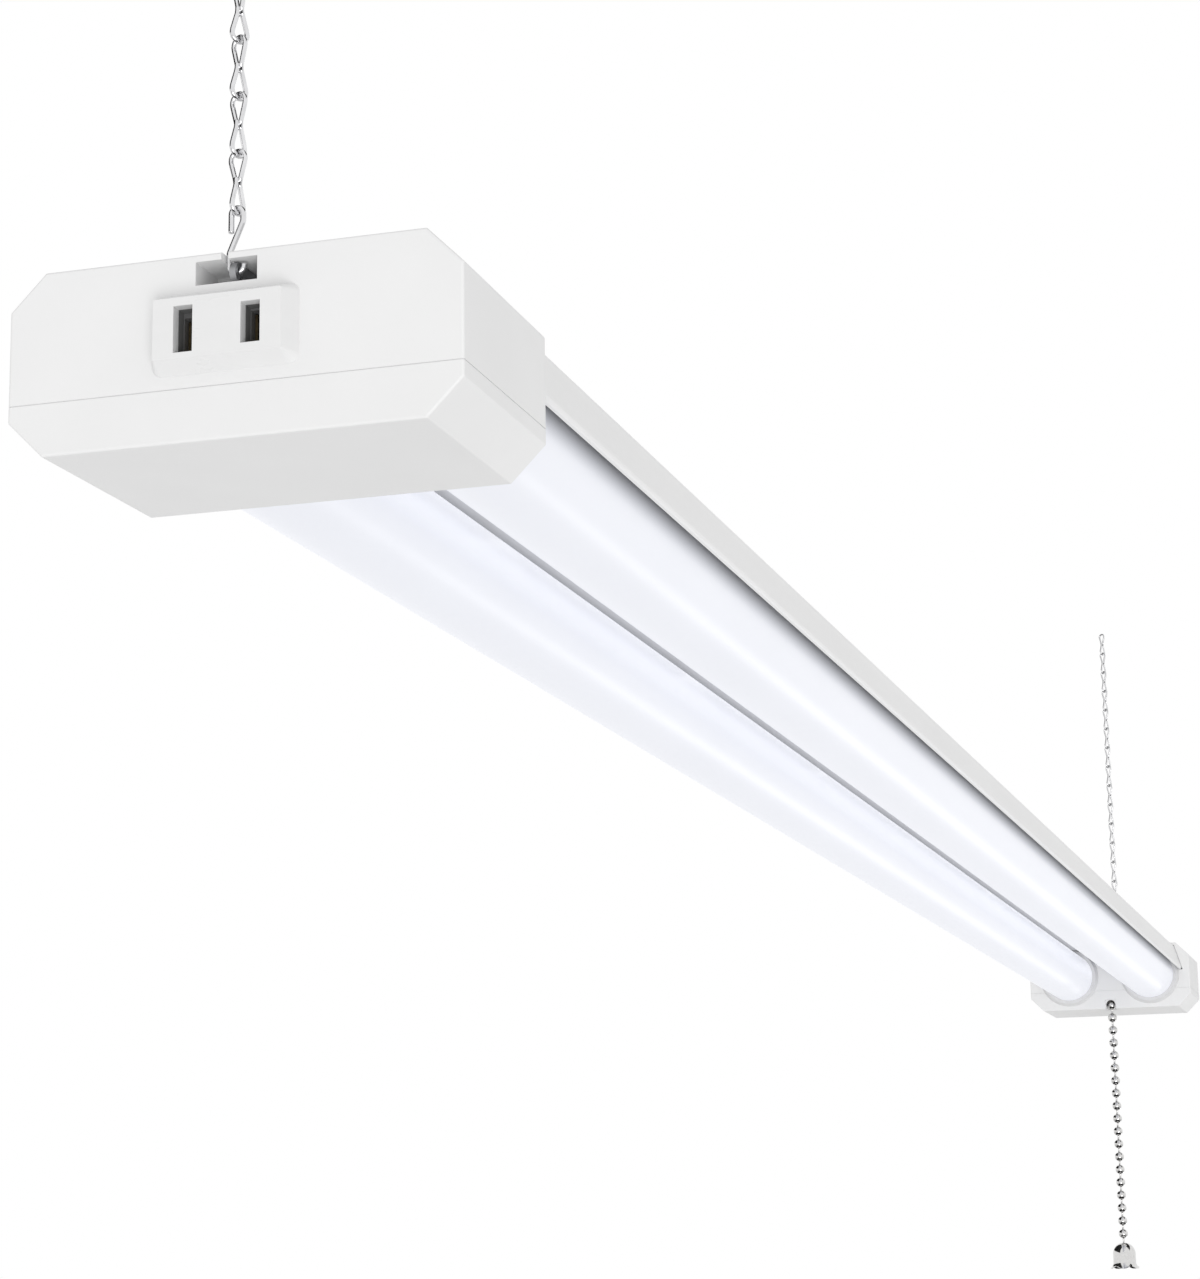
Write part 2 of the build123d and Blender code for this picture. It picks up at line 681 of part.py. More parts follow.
# ---------------------------------------------------------------- pull switch in the far cap
inner_case = (case_x[0] + case_wall, case_x[1] - case_wall)
with BuildPart() as switch_case:
    span(case_x, (-case_half, case_half - case_wall), (case_low, case_high))
    span(inner_case, (-case_half + case_wall, case_half), (case_low + case_wall, case_high - case_wall),
         Mode.SUBTRACT)
    pole(chain_x, 0, (case_low - 1, case_low + 2), slider_rod + slider_play, Mode.SUBTRACT)
    bar_y(rotor_x, (-case_half - 1, 0), rotor_height, axle_radius, Mode.SUBTRACT)
    for sign in (-1, 1):
        blade_y = sorted(sign * y for y in contact_sides)
        span((inner_case[1] - 0.5, case_x[1] + 0.5), blade_y, contact_heights, Mode.SUBTRACT)
keep(switch_case, "switch_case")

with BuildPart() as switch_lid:
    span(case_x, (case_half - case_wall, case_half), (case_low, case_high))
    bar_y(rotor_x, (0, case_half + 1), rotor_height, axle_radius, Mode.SUBTRACT)
keep(switch_lid, "switch_lid")

with BuildPart() as switch_contacts:
    for sign in (-1, 1):
        blade_y = sorted(sign * y for y in contact_sides)
        span((inner_case[1] - 1.0, case_x[1] + terminal_length), blade_y, contact_heights)
keep(switch_contacts, "switch_contacts")

head_height = first_bead + head_offset
with BuildPart() as pull_slider:
    with Locations((chain_x, 0, up(head_height))):
        Sphere(rod_head)
    rod_low = first_bead + bead_radius + 0.4
    pole(chain_x, 0, (head_height, rod_low + 0.5), rod_neck)
    pole(chain_x, 0, (rod_low, arm_heights[1]), slider_rod)
    span((inner_case[0] + 0.2, chain_x + arm_reach), (-arm_half, arm_half), arm_heights)
    bar_y(pin_x, (arm_half - 0.2, fork_y[1] + 0.3), pin_height, pin_radius)
keep(pull_slider, "pull_slider")

with BuildPart() as return_spring:
    spring_low = case_low + case_wall + spring_wire / 2
    spring_high = arm_heights[0] - spring_wire / 2
    spring_pitch = (spring_high - spring_low) / spring_turns
    with BuildLine(Plane.XY.offset(up(spring_low))) as coil:
        Helix(spring_pitch, spring_high - spring_low, spring_radius,
              center=(chain_x + spring_reach, 0, 0))
    with BuildSketch(Plane(origin=coil.line @ 0, z_dir=coil.line % 0)):
        Circle(spring_wire / 2)
    sweep(path=coil.line, is_frenet=True)
keep(return_spring, "return_spring")

fork_angle = degrees(asin((pin_height - rotor_height) / hypot(rotor_x - pin_x, pin_height - rotor_height)))
with BuildPart() as switch_rotor:
    bar_y(rotor_x, (-rotor_half, rotor_half), rotor_height, rotor_hub)
    fork_plane = Plane(origin=(rotor_x, fork_y[0], up(rotor_height)), x_dir=(
        -cos(radians(fork_angle)), 0, sin(radians(fork_angle))), z_dir=(0, 1, 0))
    with BuildSketch(fork_plane):
        with Locations((fork_reach / 2, 0)):
            Rectangle(fork_reach, fork_gap + 2 * fork_wall)
        with Locations((fork_reach, 0)):
            Rectangle(2 * fork_slot, fork_gap, mode=Mode.SUBTRACT)
    extrude(amount=fork_y[1] - fork_y[0])
    bar_y(rotor_x, (-rotor_half - 1, rotor_half + 1), rotor_height, axle_radius + axle_play, Mode.SUBTRACT)
    span((rotor_x + rotor_hub - bridge, rotor_x + rotor_hub + 1), (-bridge_half - 0.1, bridge_half + 0.1),
         (rotor_height - rotor_half, rotor_height + rotor_half), Mode.SUBTRACT)
keep(switch_rotor, "switch_rotor")

with BuildPart() as contact_bridge:
    bridge_x = rotor_x + rotor_hub - bridge
    span((bridge_x, bridge_x + bridge), (-bridge_half, bridge_half), (rotor_height - 1.5, rotor_height + 1.5))
    for y in (bridge - bridge_half + 0.1, bridge_half - bridge - 0.1):
        span((bridge_x + bridge, bridge_x + 2 * bridge), (y - bridge, y + bridge),
             (rotor_height - bridge, rotor_height + bridge))
keep(contact_bridge, "contact_bridge")

with BuildPart() as rotor_axle:
    bar_y(rotor_x, (-case_half, case_half), rotor_height, axle_radius)
keep(rotor_axle, "rotor_axle")

# ---------------------------------------------------------------- supply entry and terminal block
with BuildPart() as cord_grommet:
    bar_x(behind(1, (0, end_wall)), front_y, grommet_height, grommet_neck)
    for depths in ((-grommet_flange_thickness, 0), (end_wall, end_wall + grommet_flange_thickness)):
        bar_x(behind(1, depths), front_y, grommet_height, grommet_flange)
    nose_x = half_length + grommet_flange_thickness
    with Locations(Location((nose_x, front_y, up(grommet_height)), (0, 90, 0))):
        Cone(grommet_neck + 0.4, grommet_neck - 0.4, grommet_nose,
             align=(Align.CENTER, Align.CENTER, Align.MIN))
    bar_x((half_length - 10, half_length + 10), front_y, grommet_height, cord_radius, Mode.SUBTRACT)
keep(cord_grommet, "cord_grommet")

with BuildPart() as terminal_block:
    span(block_x, block_y, (floor_wall, block_high))
    for y in pole_y:
        bar_x((block_x[0] + 1.5, block_x[1] + 1), y, pole_height, clamp_radius, Mode.SUBTRACT)
        bar_x((block_x[0] - 1, block_x[0] + 2), y, pole_height, wire_radius + 0.1, Mode.SUBTRACT)
        pole(sum(block_x) / 2, y, (pole_height, block_high + 1), clamp_radius - 0.2, Mode.SUBTRACT)
    middle_y = sum(pole_y) / 2
    span((block_x[0] - 1, block_x[1] + 1), (middle_y - 0.4, middle_y + 0.4),
         (pole_height + 2.2, block_high + 1), Mode.SUBTRACT)
keep(terminal_block, "terminal_block")

# ---------------------------------------------------------------- LED driver on the near cap's floor
board_top = driver_low + driver_thickness
with BuildPart() as driver_board:
    span(driver_x, (-driver_half, driver_half), (driver_low, board_top))
    for x in (driver_x[0] + boss_inset, driver_x[1] - boss_inset):
        for y in (-boss_y, boss_y):
            pole(x, y, (driver_low - 1, board_top + 1), peg_radius + 0.1, Mode.SUBTRACT)
keep(driver_board, "driver_board")

parts_x = -half_length      # the driver's parts are placed from the cap's end face
capacitor_y = (16.5, 28.0)
capacitor_radius = 5.0
capacitor_height = 16.0
with BuildPart() as driver_capacitors:
    for y in capacitor_y:
        pole(parts_x + capacitor_depth, y, (board_top, board_top + capacitor_height), capacitor_radius)
    fillet(driver_capacitors.edges().group_by(Axis.Z)[-1], 0.6)
keep(driver_capacitors, "driver_capacitors")

coil_y = (-28.0, -13.0)
coil_foot = [parts_x + depth for depth in coil_foot_depths]
coil_core = [parts_x + depth for depth in coil_core_depths]
coil_layers = (0.0, 3.0, 12.0, 14.0)
with BuildPart() as driver_transformer:
    layers = [board_top + rise for rise in coil_layers]
    span(coil_foot, coil_y, layers[0:2])
    span(coil_core, coil_y, layers[1:3])
    span(coil_foot, coil_y, layers[2:4])
    pole(sum(coil_foot) / 2, sum(coil_y) / 2, layers[1:3], 6.2)
keep(driver_transformer, "driver_transformer")

choke_y = -5.0
choke_base = 1.2
choke_radius = 4.2
choke_winding = 2.2
choke_x = [parts_x + depth for depth in choke_depths]
with BuildPart() as driver_choke:
    with Locations((sum(choke_x) / 2, choke_y, up(board_top + choke_winding + 1))):
        Torus(choke_radius, choke_winding)
        Cylinder(choke_radius + 1.8, 2.4)
        Cylinder(choke_radius - choke_winding, 8, mode=Mode.SUBTRACT)
    span(choke_x, (choke_y - 3, choke_y + 3), (board_top, board_top + choke_base))
keep(driver_choke, "driver_choke")

box_parts = ((19.5, 23.0, 4.0, 12.0, 7.0), (25.0, 29.0, 3.0, 10.0, 8.0),
             (25.0, 30.0, -32.4, -30.6, 1.8), (25.0, 30.0, -34.9, -33.1, 1.8))
with BuildPart() as driver_small_parts:
    for x_low, x_high, y_low, y_high, height in box_parts:
        span((parts_x + x_low, parts_x + x_high), (y_low, y_high), (board_top, board_top + height))
    bar_y(parts_x + pad_depth, (-11, 1), board_top + 2.2, 2.2)
keep(driver_small_parts, "driver_small_parts")

# ---------------------------------------------------------------- wires held inside
tail_x = tail_end - half_length
run_x = hanger_start
run_height = wireway_height + 0.02
entry_x = -inner_face - 5.6     # where the wires enter the socket's cap
exit_x = inner_face + 6.6       # and the switch's cap
behind_case = case_x[1] + 4.4
pad_x = parts_x + pad_depth
with BuildPart() as hot_wires:
    wire([(tail_x, hot_place, slot_middle), (tail_x + 9, hot_place, slot_middle),
          (tail_x + 14, hot_y - 1, slot_middle + 3.1), (entry_x, hot_y, wireway_height),
          (-run_x, hot_y, run_height), (run_x, hot_y, run_height),
          (exit_x, hot_y + 1, wireway_height - 0.6), (exit_x + 6, 12.5, wireway_height - 7.4),
          (block_x[0] - 9.5, pole_y[0], pole_height), (block_x[0] + 4, pole_y[0], pole_height)],
         wire_radius)
    wire([(block_x[0], 17.2, 4.2), (block_x[0] - 4.5, 17.2, 4.2), (block_x[0] - 4.5, 12.5, 12.0),
          (behind_case - 2.5, 8.5, 14.0), (behind_case, 3.3, 14.5),
          (behind_case, 3.3, contact_heights[0])], lead_radius)
keep(hot_wires, "hot_wires")

with BuildPart() as neutral_wires:
    wire([(tail_x, neutral_place, slot_middle), (tail_x + 8, neutral_place, slot_middle),
          (tail_x + 13, neutral_y, slot_middle + 3.1), (entry_x, neutral_y, wireway_height),
          (-run_x, neutral_y, run_height), (run_x, neutral_y, run_height),
          (exit_x + 1, neutral_y + 1, wireway_height - 0.6), (exit_x + 8, 17.0, wireway_height - 6.4),
          (block_x[0] - 8, pole_y[1], pole_height), (block_x[0] + 4, pole_y[1], pole_height)],
         wire_radius)
keep(neutral_wires, "neutral_wires")

with BuildPart() as switched_wire:
    wire([(pad_x, 2.6, board_top), (pad_x, 2.6, 14.0), (pad_x + 0.2, 2.2, 23.0),
          (entry_x + 1, switched_y, wireway_height), (-run_x, switched_y, run_height),
          (run_x, switched_y, run_height), (exit_x + 1, switched_y + 0.3, wireway_height - 0.4),
          (case_x[1] - 1.6, 4.0, wireway_height - 2.6), (case_x[1] + 3.7, 1.5, 25.0),
          (case_x[1] + 3.9, -3.3, 23.5), (case_x[1] + 3.9, -3.3, contact_heights[1])],
         wire_radius - 0.1)
keep(switched_wire, "switched_wire")

with BuildPart() as tube_leads:
    for tube_side, _ in TUBES:
        y = tube_side * tube_y
        wire([(pad_x - 0.3, y + 4, board_top), (pad_x - 0.3, y + 4, 11.0),
              (pad_x - 0.8, y + 1, tube_height - 0.2), (-strip_end - 5.5, y, board_low + 0.6),
              (-strip_end, y, board_low + 0.5)], lead_radius)
keep(tube_leads, "tube_leads")

clip_half = 4.0
with BuildPart() as wire_clips:
    for i in range(clip_count):
        x = (i - (clip_count - 1) / 2) * clip_pitch
        low = run_height - wire_radius - 0.8
        span((x - clip_half, x + clip_half), (switched_y - 2.0, neutral_y + 2.0), (low, flange_top))
        span((x - clip_half - 1, x + clip_half + 1), (switched_y - wire_radius, neutral_y + wire_radius),
             (low + 0.8, flange_top), Mode.SUBTRACT)
        for foot_y in ((switched_y - 5.0, switched_y - 2.0), (neutral_y + 2.0, neutral_y + 5.0)):
            span((x - clip_half, x + clip_half), foot_y, (flange_top - 0.8, flange_top))
keep(wire_clips, "wire_clips")

# ---------------------------------------------------------------- hanging chains
waist = -link_inner / 2


def loop(turn, tip, sign):
    """Half a link: wire from one side of the waist, round one end and back to the other side."""
    along = Vector(cos(radians(turn)), sin(radians(turn)), 0)
    plane = Plane(origin=(0, 0, 0), x_dir=along, z_dir=along.cross(Vector(0, 0, 1)))
    middle = tip + sign * (wire_half - loop_radius)
    foot_u = wire_half + leg_gap / 2
    foot_v = waist + sign * leg_rise
    reach = hypot(foot_u, middle - foot_v)
    lean = atan2(middle - foot_v, -foot_u) - sign * asin(loop_radius / reach)
    leg = sqrt(reach ** 2 - loop_radius ** 2)
    leg_u = foot_u + leg * cos(lean)
    leg_v = foot_v + leg * sin(lean)
    with BuildLine(plane) as path:
        Line((foot_u, foot_v), (leg_u, leg_v))
        ThreePointArc((leg_u, leg_v), (0, middle + sign * loop_radius), (-leg_u, leg_v))
        Line((-leg_u, leg_v), (-foot_u, foot_v))
    wire_path = path.wires()[0]
    with BuildSketch(Plane(origin=wire_path @ 0, z_dir=wire_path % 0)) as section:
        Circle(wire_half)
    sweep(section.sketch, path=wire_path)


with BuildPart() as jack_link:
    with Locations((0, 0, waist)):
        Cylinder(waist_radius, waist_length)
    loop(90, 0, 1)
    loop(0, -link_inner, -1)


def link_places(x, first, last):
    """Where a stretch of links hangs, the lowest ones turning towards the hook."""
    places = []
    for i in range(first, last + 1):
        turn = max(link_turn, last_link_turn - turn_per_link * (link_count - 1 - i))
        places.append(Location((x, 0, link_top[i]), (0, 0, turn)))
    return places


for side, end in ENDS:
    for piece, first, last in (("ceiling_link", 0, 0), ("swing_link", 1, 1), ("chain", 2, link_count - 1)):
        with BuildPart() as stretch:
            with Locations(*link_places(side * hang_x, first, last)):
                add(jack_link.part)
        keep(stretch, f"{end}_end_{piece}")

    hook_points = ((half_eye, hook_height - hook_tip_drop), (half_eye, hook_height),
                   (-half_eye, hook_height), (-half_eye, hook_height - hook_neck_drop),
                   (half_bend, hook_foot_rise), (half_bend, 0), (-half_bend, 0),
                   (-half_bend, hook_end_rise))
    hook_bends = (half_eye - 0.01, half_eye - 0.01, hook_bend, hook_bend,
                  half_bend - 0.01, half_bend - 0.1)
    with BuildPart() as hook:
        with BuildLine(Plane.YZ.offset(side * hang_x)) as shank:
            FilletPolyline(*[(y, hook_bottom + h) for y, h in hook_points], radius=list(hook_bends))
        with BuildSketch(Plane(origin=shank.wires()[0] @ 0, z_dir=shank.wires()[0] % 0)):
            Circle(hook_half)
        sweep(path=shank.wires()[0])
    keep(hook, f"{end}_end_hook")

# ---------------------------------------------------------------- pull chain and bell
bead_heights = [first_bead - i * bead_pitch for i in range(bead_count)]
bead_heights.append(bead_heights[-1] - last_pitch)


def beads(heights):
    """Hollow beads with a hole at the top and at the bottom."""
    for height in heights:
        with Locations((chain_x, 0, up(height))):
            Sphere(bead_radius)
            Sphere(bead_radius - bead_wall, mode=Mode.SUBTRACT)
            Cylinder(bead_hole, 2 * bead_radius + 1, mode=Mode.SUBTRACT)


def rods(pairs):
    """Dumbbell rods, each with one head in the bead above and one in the bead below."""
    for above, below in pairs:
        top = above - head_offset
        low = below + head_offset
        for height in (top, low):
            with Locations((chain_x, 0, up(height))):
                Sphere(rod_head)
        pole(chain_x, 0, (low, top), rod_neck)


pairs = list(zip(bead_heights, bead_heights[1:]))
with BuildPart() as pull_chain_top_bead:
    beads(bead_heights[:1])
keep(pull_chain_top_bead, "pull_chain_top_bead")

with BuildPart() as pull_chain_joint:
    rods(pairs[:1])
keep(pull_chain_joint, "pull_chain_joint")

with BuildPart() as pull_chain_upper:
    beads(bead_heights[1:1 + upper_beads])
    rods(pairs[1:upper_beads])
keep(pull_chain_upper, "pull_chain_upper")

with BuildPart() as pull_chain_lower:
    beads(bead_heights[1 + upper_beads:])
    rods(pairs[upper_beads:])
keep(pull_chain_lower, "pull_chain_lower")

with BuildPart() as pull_bell:
    bell_z = up(bell_top)
    shoulder = bell_z - bell_radius
    flare_z = bell_z - bell_straight
    rim_z = bell_z - bell_height
    dome = sin(radians(45))
    inner = bell_radius - bell_wall
    with BuildSketch(Plane.XZ):
        with BuildLine():
            ThreePointArc((chain_x, bell_z), (chain_x + bell_radius * dome, shoulder + bell_radius * dome),
                          (chain_x + bell_radius, shoulder))
            Line((chain_x + bell_radius, shoulder), (chain_x + bell_radius, flare_z))
            ThreePointArc((chain_x + bell_radius, flare_z), (chain_x + bell_radius + 0.55, flare_z - 2.0),
                          (chain_x + bell_flare, rim_z))
            Line((chain_x + bell_flare, rim_z), (chain_x + bell_flare - bell_wall, rim_z))
            ThreePointArc((chain_x + bell_flare - bell_wall, rim_z),
                          (chain_x + inner + 0.55, flare_z - 2.0), (chain_x + inner, flare_z))
            Line((chain_x + inner, flare_z), (chain_x + inner, shoulder))
            ThreePointArc((chain_x + inner, shoulder), (chain_x + inner * dome, shoulder + inner * dome),
                          (chain_x, shoulder + inner))
            Line((chain_x, shoulder + inner), (chain_x, bell_z))
        make_face()
    revolve(axis=Axis((chain_x, 0, 0), (0, 0, 1)))
    with Locations((chain_x, 0, bell_z)):
        Cylinder(bell_hole, 4, mode=Mode.SUBTRACT)
    for i in range(bell_scallops):
        turn = 360 * i / bell_scallops
        with Locations(Location((chain_x, 0, rim_z - 1.4), (0, 0, turn))):
            with Locations(Location((6.5, 0, 0), (0, 90, 0))):
                Cylinder(scallop_radius, 6, mode=Mode.SUBTRACT)
keep(pull_bell, "pull_bell")
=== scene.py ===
# %% [markdown]
# # A hanging shop light
#
# The real light is a long sheet-steel housing with two frosted tubes under it. A moulded cap closes
# each end, a jack chain carries each cap, and a beaded pull chain works the switch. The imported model
# already holds every rigid part at its real size. This notebook dresses it: it draws the wire, bead
# and sheet shapes finer than the solids need, gives each finish its own material, and sets the light.

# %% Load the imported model
import json
from math import atan2, cos, hypot, pi, radians, sin, sqrt

import bmesh
import bpy
import numpy as np
from mathutils import Matrix, Vector


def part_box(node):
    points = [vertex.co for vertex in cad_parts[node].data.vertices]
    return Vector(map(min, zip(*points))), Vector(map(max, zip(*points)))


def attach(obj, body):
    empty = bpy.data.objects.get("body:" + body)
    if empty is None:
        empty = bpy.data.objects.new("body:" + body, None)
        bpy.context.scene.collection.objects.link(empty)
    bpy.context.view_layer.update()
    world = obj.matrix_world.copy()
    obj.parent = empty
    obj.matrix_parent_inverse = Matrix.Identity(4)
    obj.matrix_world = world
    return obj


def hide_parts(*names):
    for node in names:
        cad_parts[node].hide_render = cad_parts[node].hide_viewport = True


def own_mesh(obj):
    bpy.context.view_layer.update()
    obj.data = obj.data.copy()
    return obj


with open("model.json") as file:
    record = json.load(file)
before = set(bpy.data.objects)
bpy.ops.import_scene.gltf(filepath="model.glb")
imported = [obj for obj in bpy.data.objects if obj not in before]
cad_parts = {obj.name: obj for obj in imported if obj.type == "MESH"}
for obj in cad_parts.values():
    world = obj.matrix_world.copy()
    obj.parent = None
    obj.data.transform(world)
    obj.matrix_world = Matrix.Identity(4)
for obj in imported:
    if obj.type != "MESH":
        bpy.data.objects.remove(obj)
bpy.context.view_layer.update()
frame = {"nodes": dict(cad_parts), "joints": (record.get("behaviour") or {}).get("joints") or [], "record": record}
nodes = frame["nodes"]
joints = {joint["name"]: joint for joint in frame["joints"]}
MM = 0.001
print("nodes:", len(nodes), "joints:", len(joints))

# %% [markdown]
# ## Places that the frame gives
#
# Nothing is measured twice. A joint's position says where two links touch or where a bead's rod is
# held, and a node's box says where a face is. The chains, the hook and the pull chain are all worked
# out from these, so they stay in place if the model changes.

# %% Places of the chains, the hooks and the pull chain
cap_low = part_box("socket_cap_cover")[0]
cap_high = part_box("socket_cap_shell")[1]
underside = cap_low.z
hang_x = joints["fixture_level"]["pos_m"][0]
first_contact = joints["sideways_swing"]["pos_m"][2]
second_contact = joints["lengthwise_swing"]["pos_m"][2]
link_pitch = first_contact - second_contact
link_inner = -2 * first_contact - link_pitch
hook_bottom = joints["fixture_level"]["pos_m"][2]
pull_x = joints["pull_sideways"]["pos_m"][0]
top_rod_z = joints["pull_sideways"]["pos_m"][2]
second_rod_z = joints["pull_lengthwise"]["pos_m"][2]
lower_rod_z = joints["pull_bend"]["pos_m"][2]
last_bead_z = joints["bell_tilt"]["pos_m"][2]
print(f"link pitch {link_pitch / MM:.2f} mm, inside length {link_inner / MM:.2f} mm")

# %% [markdown]
# ## Surfaces from arrays
#
# A round bar, a bead, a bell and a tube are all one kind of thing: a grid of points with two
# directions. They could be made from Blender's own cylinders and spheres, or with a Screw modifier, but
# a formula keeps every size exact and each rim can be rounded where the real one is. Numpy works out
# the whole grid at once. Neighbouring points then make four-sided faces, and a direction that comes
# back to its start is closed by counting round instead of adding a seam.

# %% A grid of points becomes a mesh
merge_distance = 1e-7
sliver_length = 1e-8


def grid_faces(rows, columns, close_rows, close_columns):
    """Corner numbers of each four-sided face of a grid, counted round where it closes."""
    row = np.arange(rows if close_rows else rows - 1)
    column = np.arange(columns if close_columns else columns - 1)
    r, c = np.meshgrid(row, column, indexing="ij")
    r_next = (r + 1) % rows
    c_next = (c + 1) % columns
    corners = [r * columns + c, r * columns + c_next, r_next * columns + c_next, r_next * columns + c]
    return np.stack(corners, axis=-1).reshape(-1, 4)


def mesh_from_grids(name, grids, close_rows=False, close_columns=True):
    """One object from several grids of equal shape, each an array of rows x columns x 3."""
    rows, columns = grids[0].shape[:2]
    faces = grid_faces(rows, columns, close_rows, close_columns)
    offsets = np.arange(len(grids)) * rows * columns
    all_faces = (faces[None, :, :] + offsets[:, None, None]).reshape(-1, 4)
    points = np.concatenate([grid.reshape(-1, 3) for grid in grids])
    mesh = bpy.data.meshes.new(name)
    mesh.from_pydata(points.tolist(), [], all_faces.tolist())
    cleaner = bmesh.new()
    cleaner.from_mesh(mesh)
    bmesh.ops.remove_doubles(cleaner, verts=cleaner.verts, dist=merge_distance)
    bmesh.ops.dissolve_degenerate(cleaner, edges=cleaner.edges, dist=sliver_length)
    open_edges = [edge for edge in cleaner.edges if edge.is_boundary]
    if open_edges:
        bmesh.ops.holes_fill(cleaner, edges=open_edges, sides=0)
    bmesh.ops.recalc_face_normals(cleaner, faces=cleaner.faces)
    cleaner.to_mesh(mesh)
    cleaner.free()
    mesh.shade_smooth()
    piece = bpy.data.objects.new(name, mesh)
    bpy.context.scene.collection.objects.link(piece)
    return piece


def sharpen(piece, angle):
    """Edges that turn by more than an angle, in degrees, shade as corners."""
    piece.data.set_sharp_from_angle(angle=radians(angle))
    return piece


def turned(profile, centre, axis, sides):
    """Grid of a profile of (radius, along) points carried round an axis, "X" or "Z", at a centre: each
    point is the radius times cosine and sine of an angle, and its place along the axis."""
    profile = np.asarray(profile)
    angle = np.linspace(0, 2 * pi, sides, endpoint=False)
    radius, along = profile[:, 0, None], profile[:, 1, None]
    round_a = radius * np.cos(angle)
    round_b = radius * np.sin(angle)
    along = np.broadcast_to(along, round_a.shape)
    order = (round_a, round_b, along) if axis == "Z" else (along, round_a, round_b)
    return np.stack(order, axis=-1) + np.asarray(centre)


# %% [markdown]
# ## Wire
#
# Bent wire keeps its round section all along. Its centre line is drawn as straight runs and arcs, and
# a circle is carried along it. A bevelled curve object would also give a bar, but its circle can twist
# at a tight bend. Here the circle is set square to the line at each point with a reference direction,
# which is the flat of the bend where the bend lies in one plane.

# %% Centre lines and the round bar on them
arc_middle = 0.7


def rounded_line(points, radii, step=8):
    """Centre line in a plane: straight runs between points, with an arc of a given radius at each
    inner one. An arc starts and ends where the circle of that radius touches both runs."""
    points = [np.array(point, float) for point in points]
    line = [points[0]]
    for before, corner, after, radius in zip(points, points[1:], points[2:], radii):
        to_before = (before - corner) / np.linalg.norm(before - corner)
        to_after = (after - corner) / np.linalg.norm(after - corner)
        half = np.arccos(np.clip(to_before @ to_after, -1, 1)) / 2
        between = to_before + to_after
        centre = corner + between / np.linalg.norm(between) * radius / sin(half)
        start = corner + to_before * radius / np.tan(half) - centre
        end = corner + to_after * radius / np.tan(half) - centre
        sweep = np.arccos(np.clip(start @ end / radius ** 2, -1, 1))
        share = np.linspace(0, 1, step + 2)[:, None]
        line.extend(centre + (np.sin((1 - share) * sweep) * start + np.sin(share * sweep) * end)
                    / np.sin(sweep))
    line.append(points[-1])
    return np.array(line)


def even(line, spacing):
    """The same line with points at an even spacing, found along its length."""
    steps = np.linalg.norm(np.diff(line, axis=0), axis=1)
    length = np.concatenate([[0], np.cumsum(steps)])
    count = max(int(length[-1] / spacing), 8)
    places = np.linspace(0, length[-1], count)
    return np.stack([np.interp(places, length, line[:, k]) for k in range(line.shape[1])], axis=1)


def eased(line, reach):
    """Each inner point becomes the mean of the points within reach of it, which rounds corners."""
    window = np.ones(2 * reach + 1) / (2 * reach + 1)
    padded = np.concatenate([np.repeat(line[:1], reach, 0), line, np.repeat(line[-1:], reach, 0)])
    smooth = np.stack([np.convolve(padded[:, k], window, "valid") for k in range(3)], axis=1)
    smooth[0], smooth[-1] = line[0], line[-1]
    return smooth


def bar_grid(line, reference, radius, sides=12, end_round=0.3):
    """Grid of a round bar on a centre line: each point is the line plus the radius times cosine and
    sine of an angle, along two directions square to the line. Both ends are drawn in by a small
    rounding, with one ring at the middle of its arc, and closed at a point."""
    tangent = np.gradient(line, axis=0)
    tangent /= np.linalg.norm(tangent, axis=1, keepdims=True)
    side = np.cross(tangent, reference)
    side /= np.linalg.norm(side, axis=1, keepdims=True)
    other = np.cross(side, tangent)
    angle = np.linspace(0, 2 * pi, sides, endpoint=False)
    cosine, sine = np.cos(angle)[None, :, None], np.sin(angle)[None, :, None]
    ring = cosine * side[:, None, :] + sine * other[:, None, :]
    body = line[:, None, :] + radius * ring
    lip = radius * end_round
    closed = []
    for end, sign in ((0, -1), (-1, 1)):
        rise = np.array([lip * arc_middle, lip, lip])[:, None, None] * sign * tangent[end]
        width = np.array([radius - lip * (1 - arc_middle), radius - lip, 0])[:, None, None]
        closed.append(line[end] + rise + width * ring[end])
    return np.concatenate([closed[0][::-1], body, closed[1]])


# %% [markdown]
# ## Jack chain
#
# A link of jack chain is one piece of wire: a loop, a twist of a quarter turn at the waist, and a
# second loop across the first. The two ends of the wire tuck in beside the waist. Two rings pushed
# together would pass from afar, but a wire that never breaks is what makes the link look bent by a
# machine. So the centre line goes round the upper loop, crosses at the waist and goes round the lower.

# %% Sizes of a link
wire_radius = 0.45 * MM
loop_radius = 1.6 * MM
waist_half = 0.47 * MM
waist_rise = 0.25 * MM
tuck = 0.65 * MM
link_spacing = 0.16 * MM
link_easing = 3
twist_share = 1 / 6
loop_points = 40


def loop_line(foot_u, foot_v, middle):
    """Half a link in its own plane: up from one foot, round a circle at a height and down again. The
    straight leg touches the circle, so the foot, the circle's middle and the touching point make a
    right triangle: the leg squared is the reach squared less the radius squared."""
    reach = hypot(foot_u, middle - foot_v)
    lean = atan2(middle - foot_v, -foot_u) - np.arcsin(loop_radius / reach)
    leg = sqrt(reach ** 2 - loop_radius ** 2)
    start = atan2(foot_v + leg * sin(lean) - middle, foot_u + leg * cos(lean))
    angle = np.linspace(start, pi - start, loop_points)
    arc = np.stack([loop_radius * np.cos(angle), middle + loop_radius * np.sin(angle)], axis=1)
    return np.concatenate([[[foot_u, foot_v]], arc, [[-foot_u, foot_v]]])


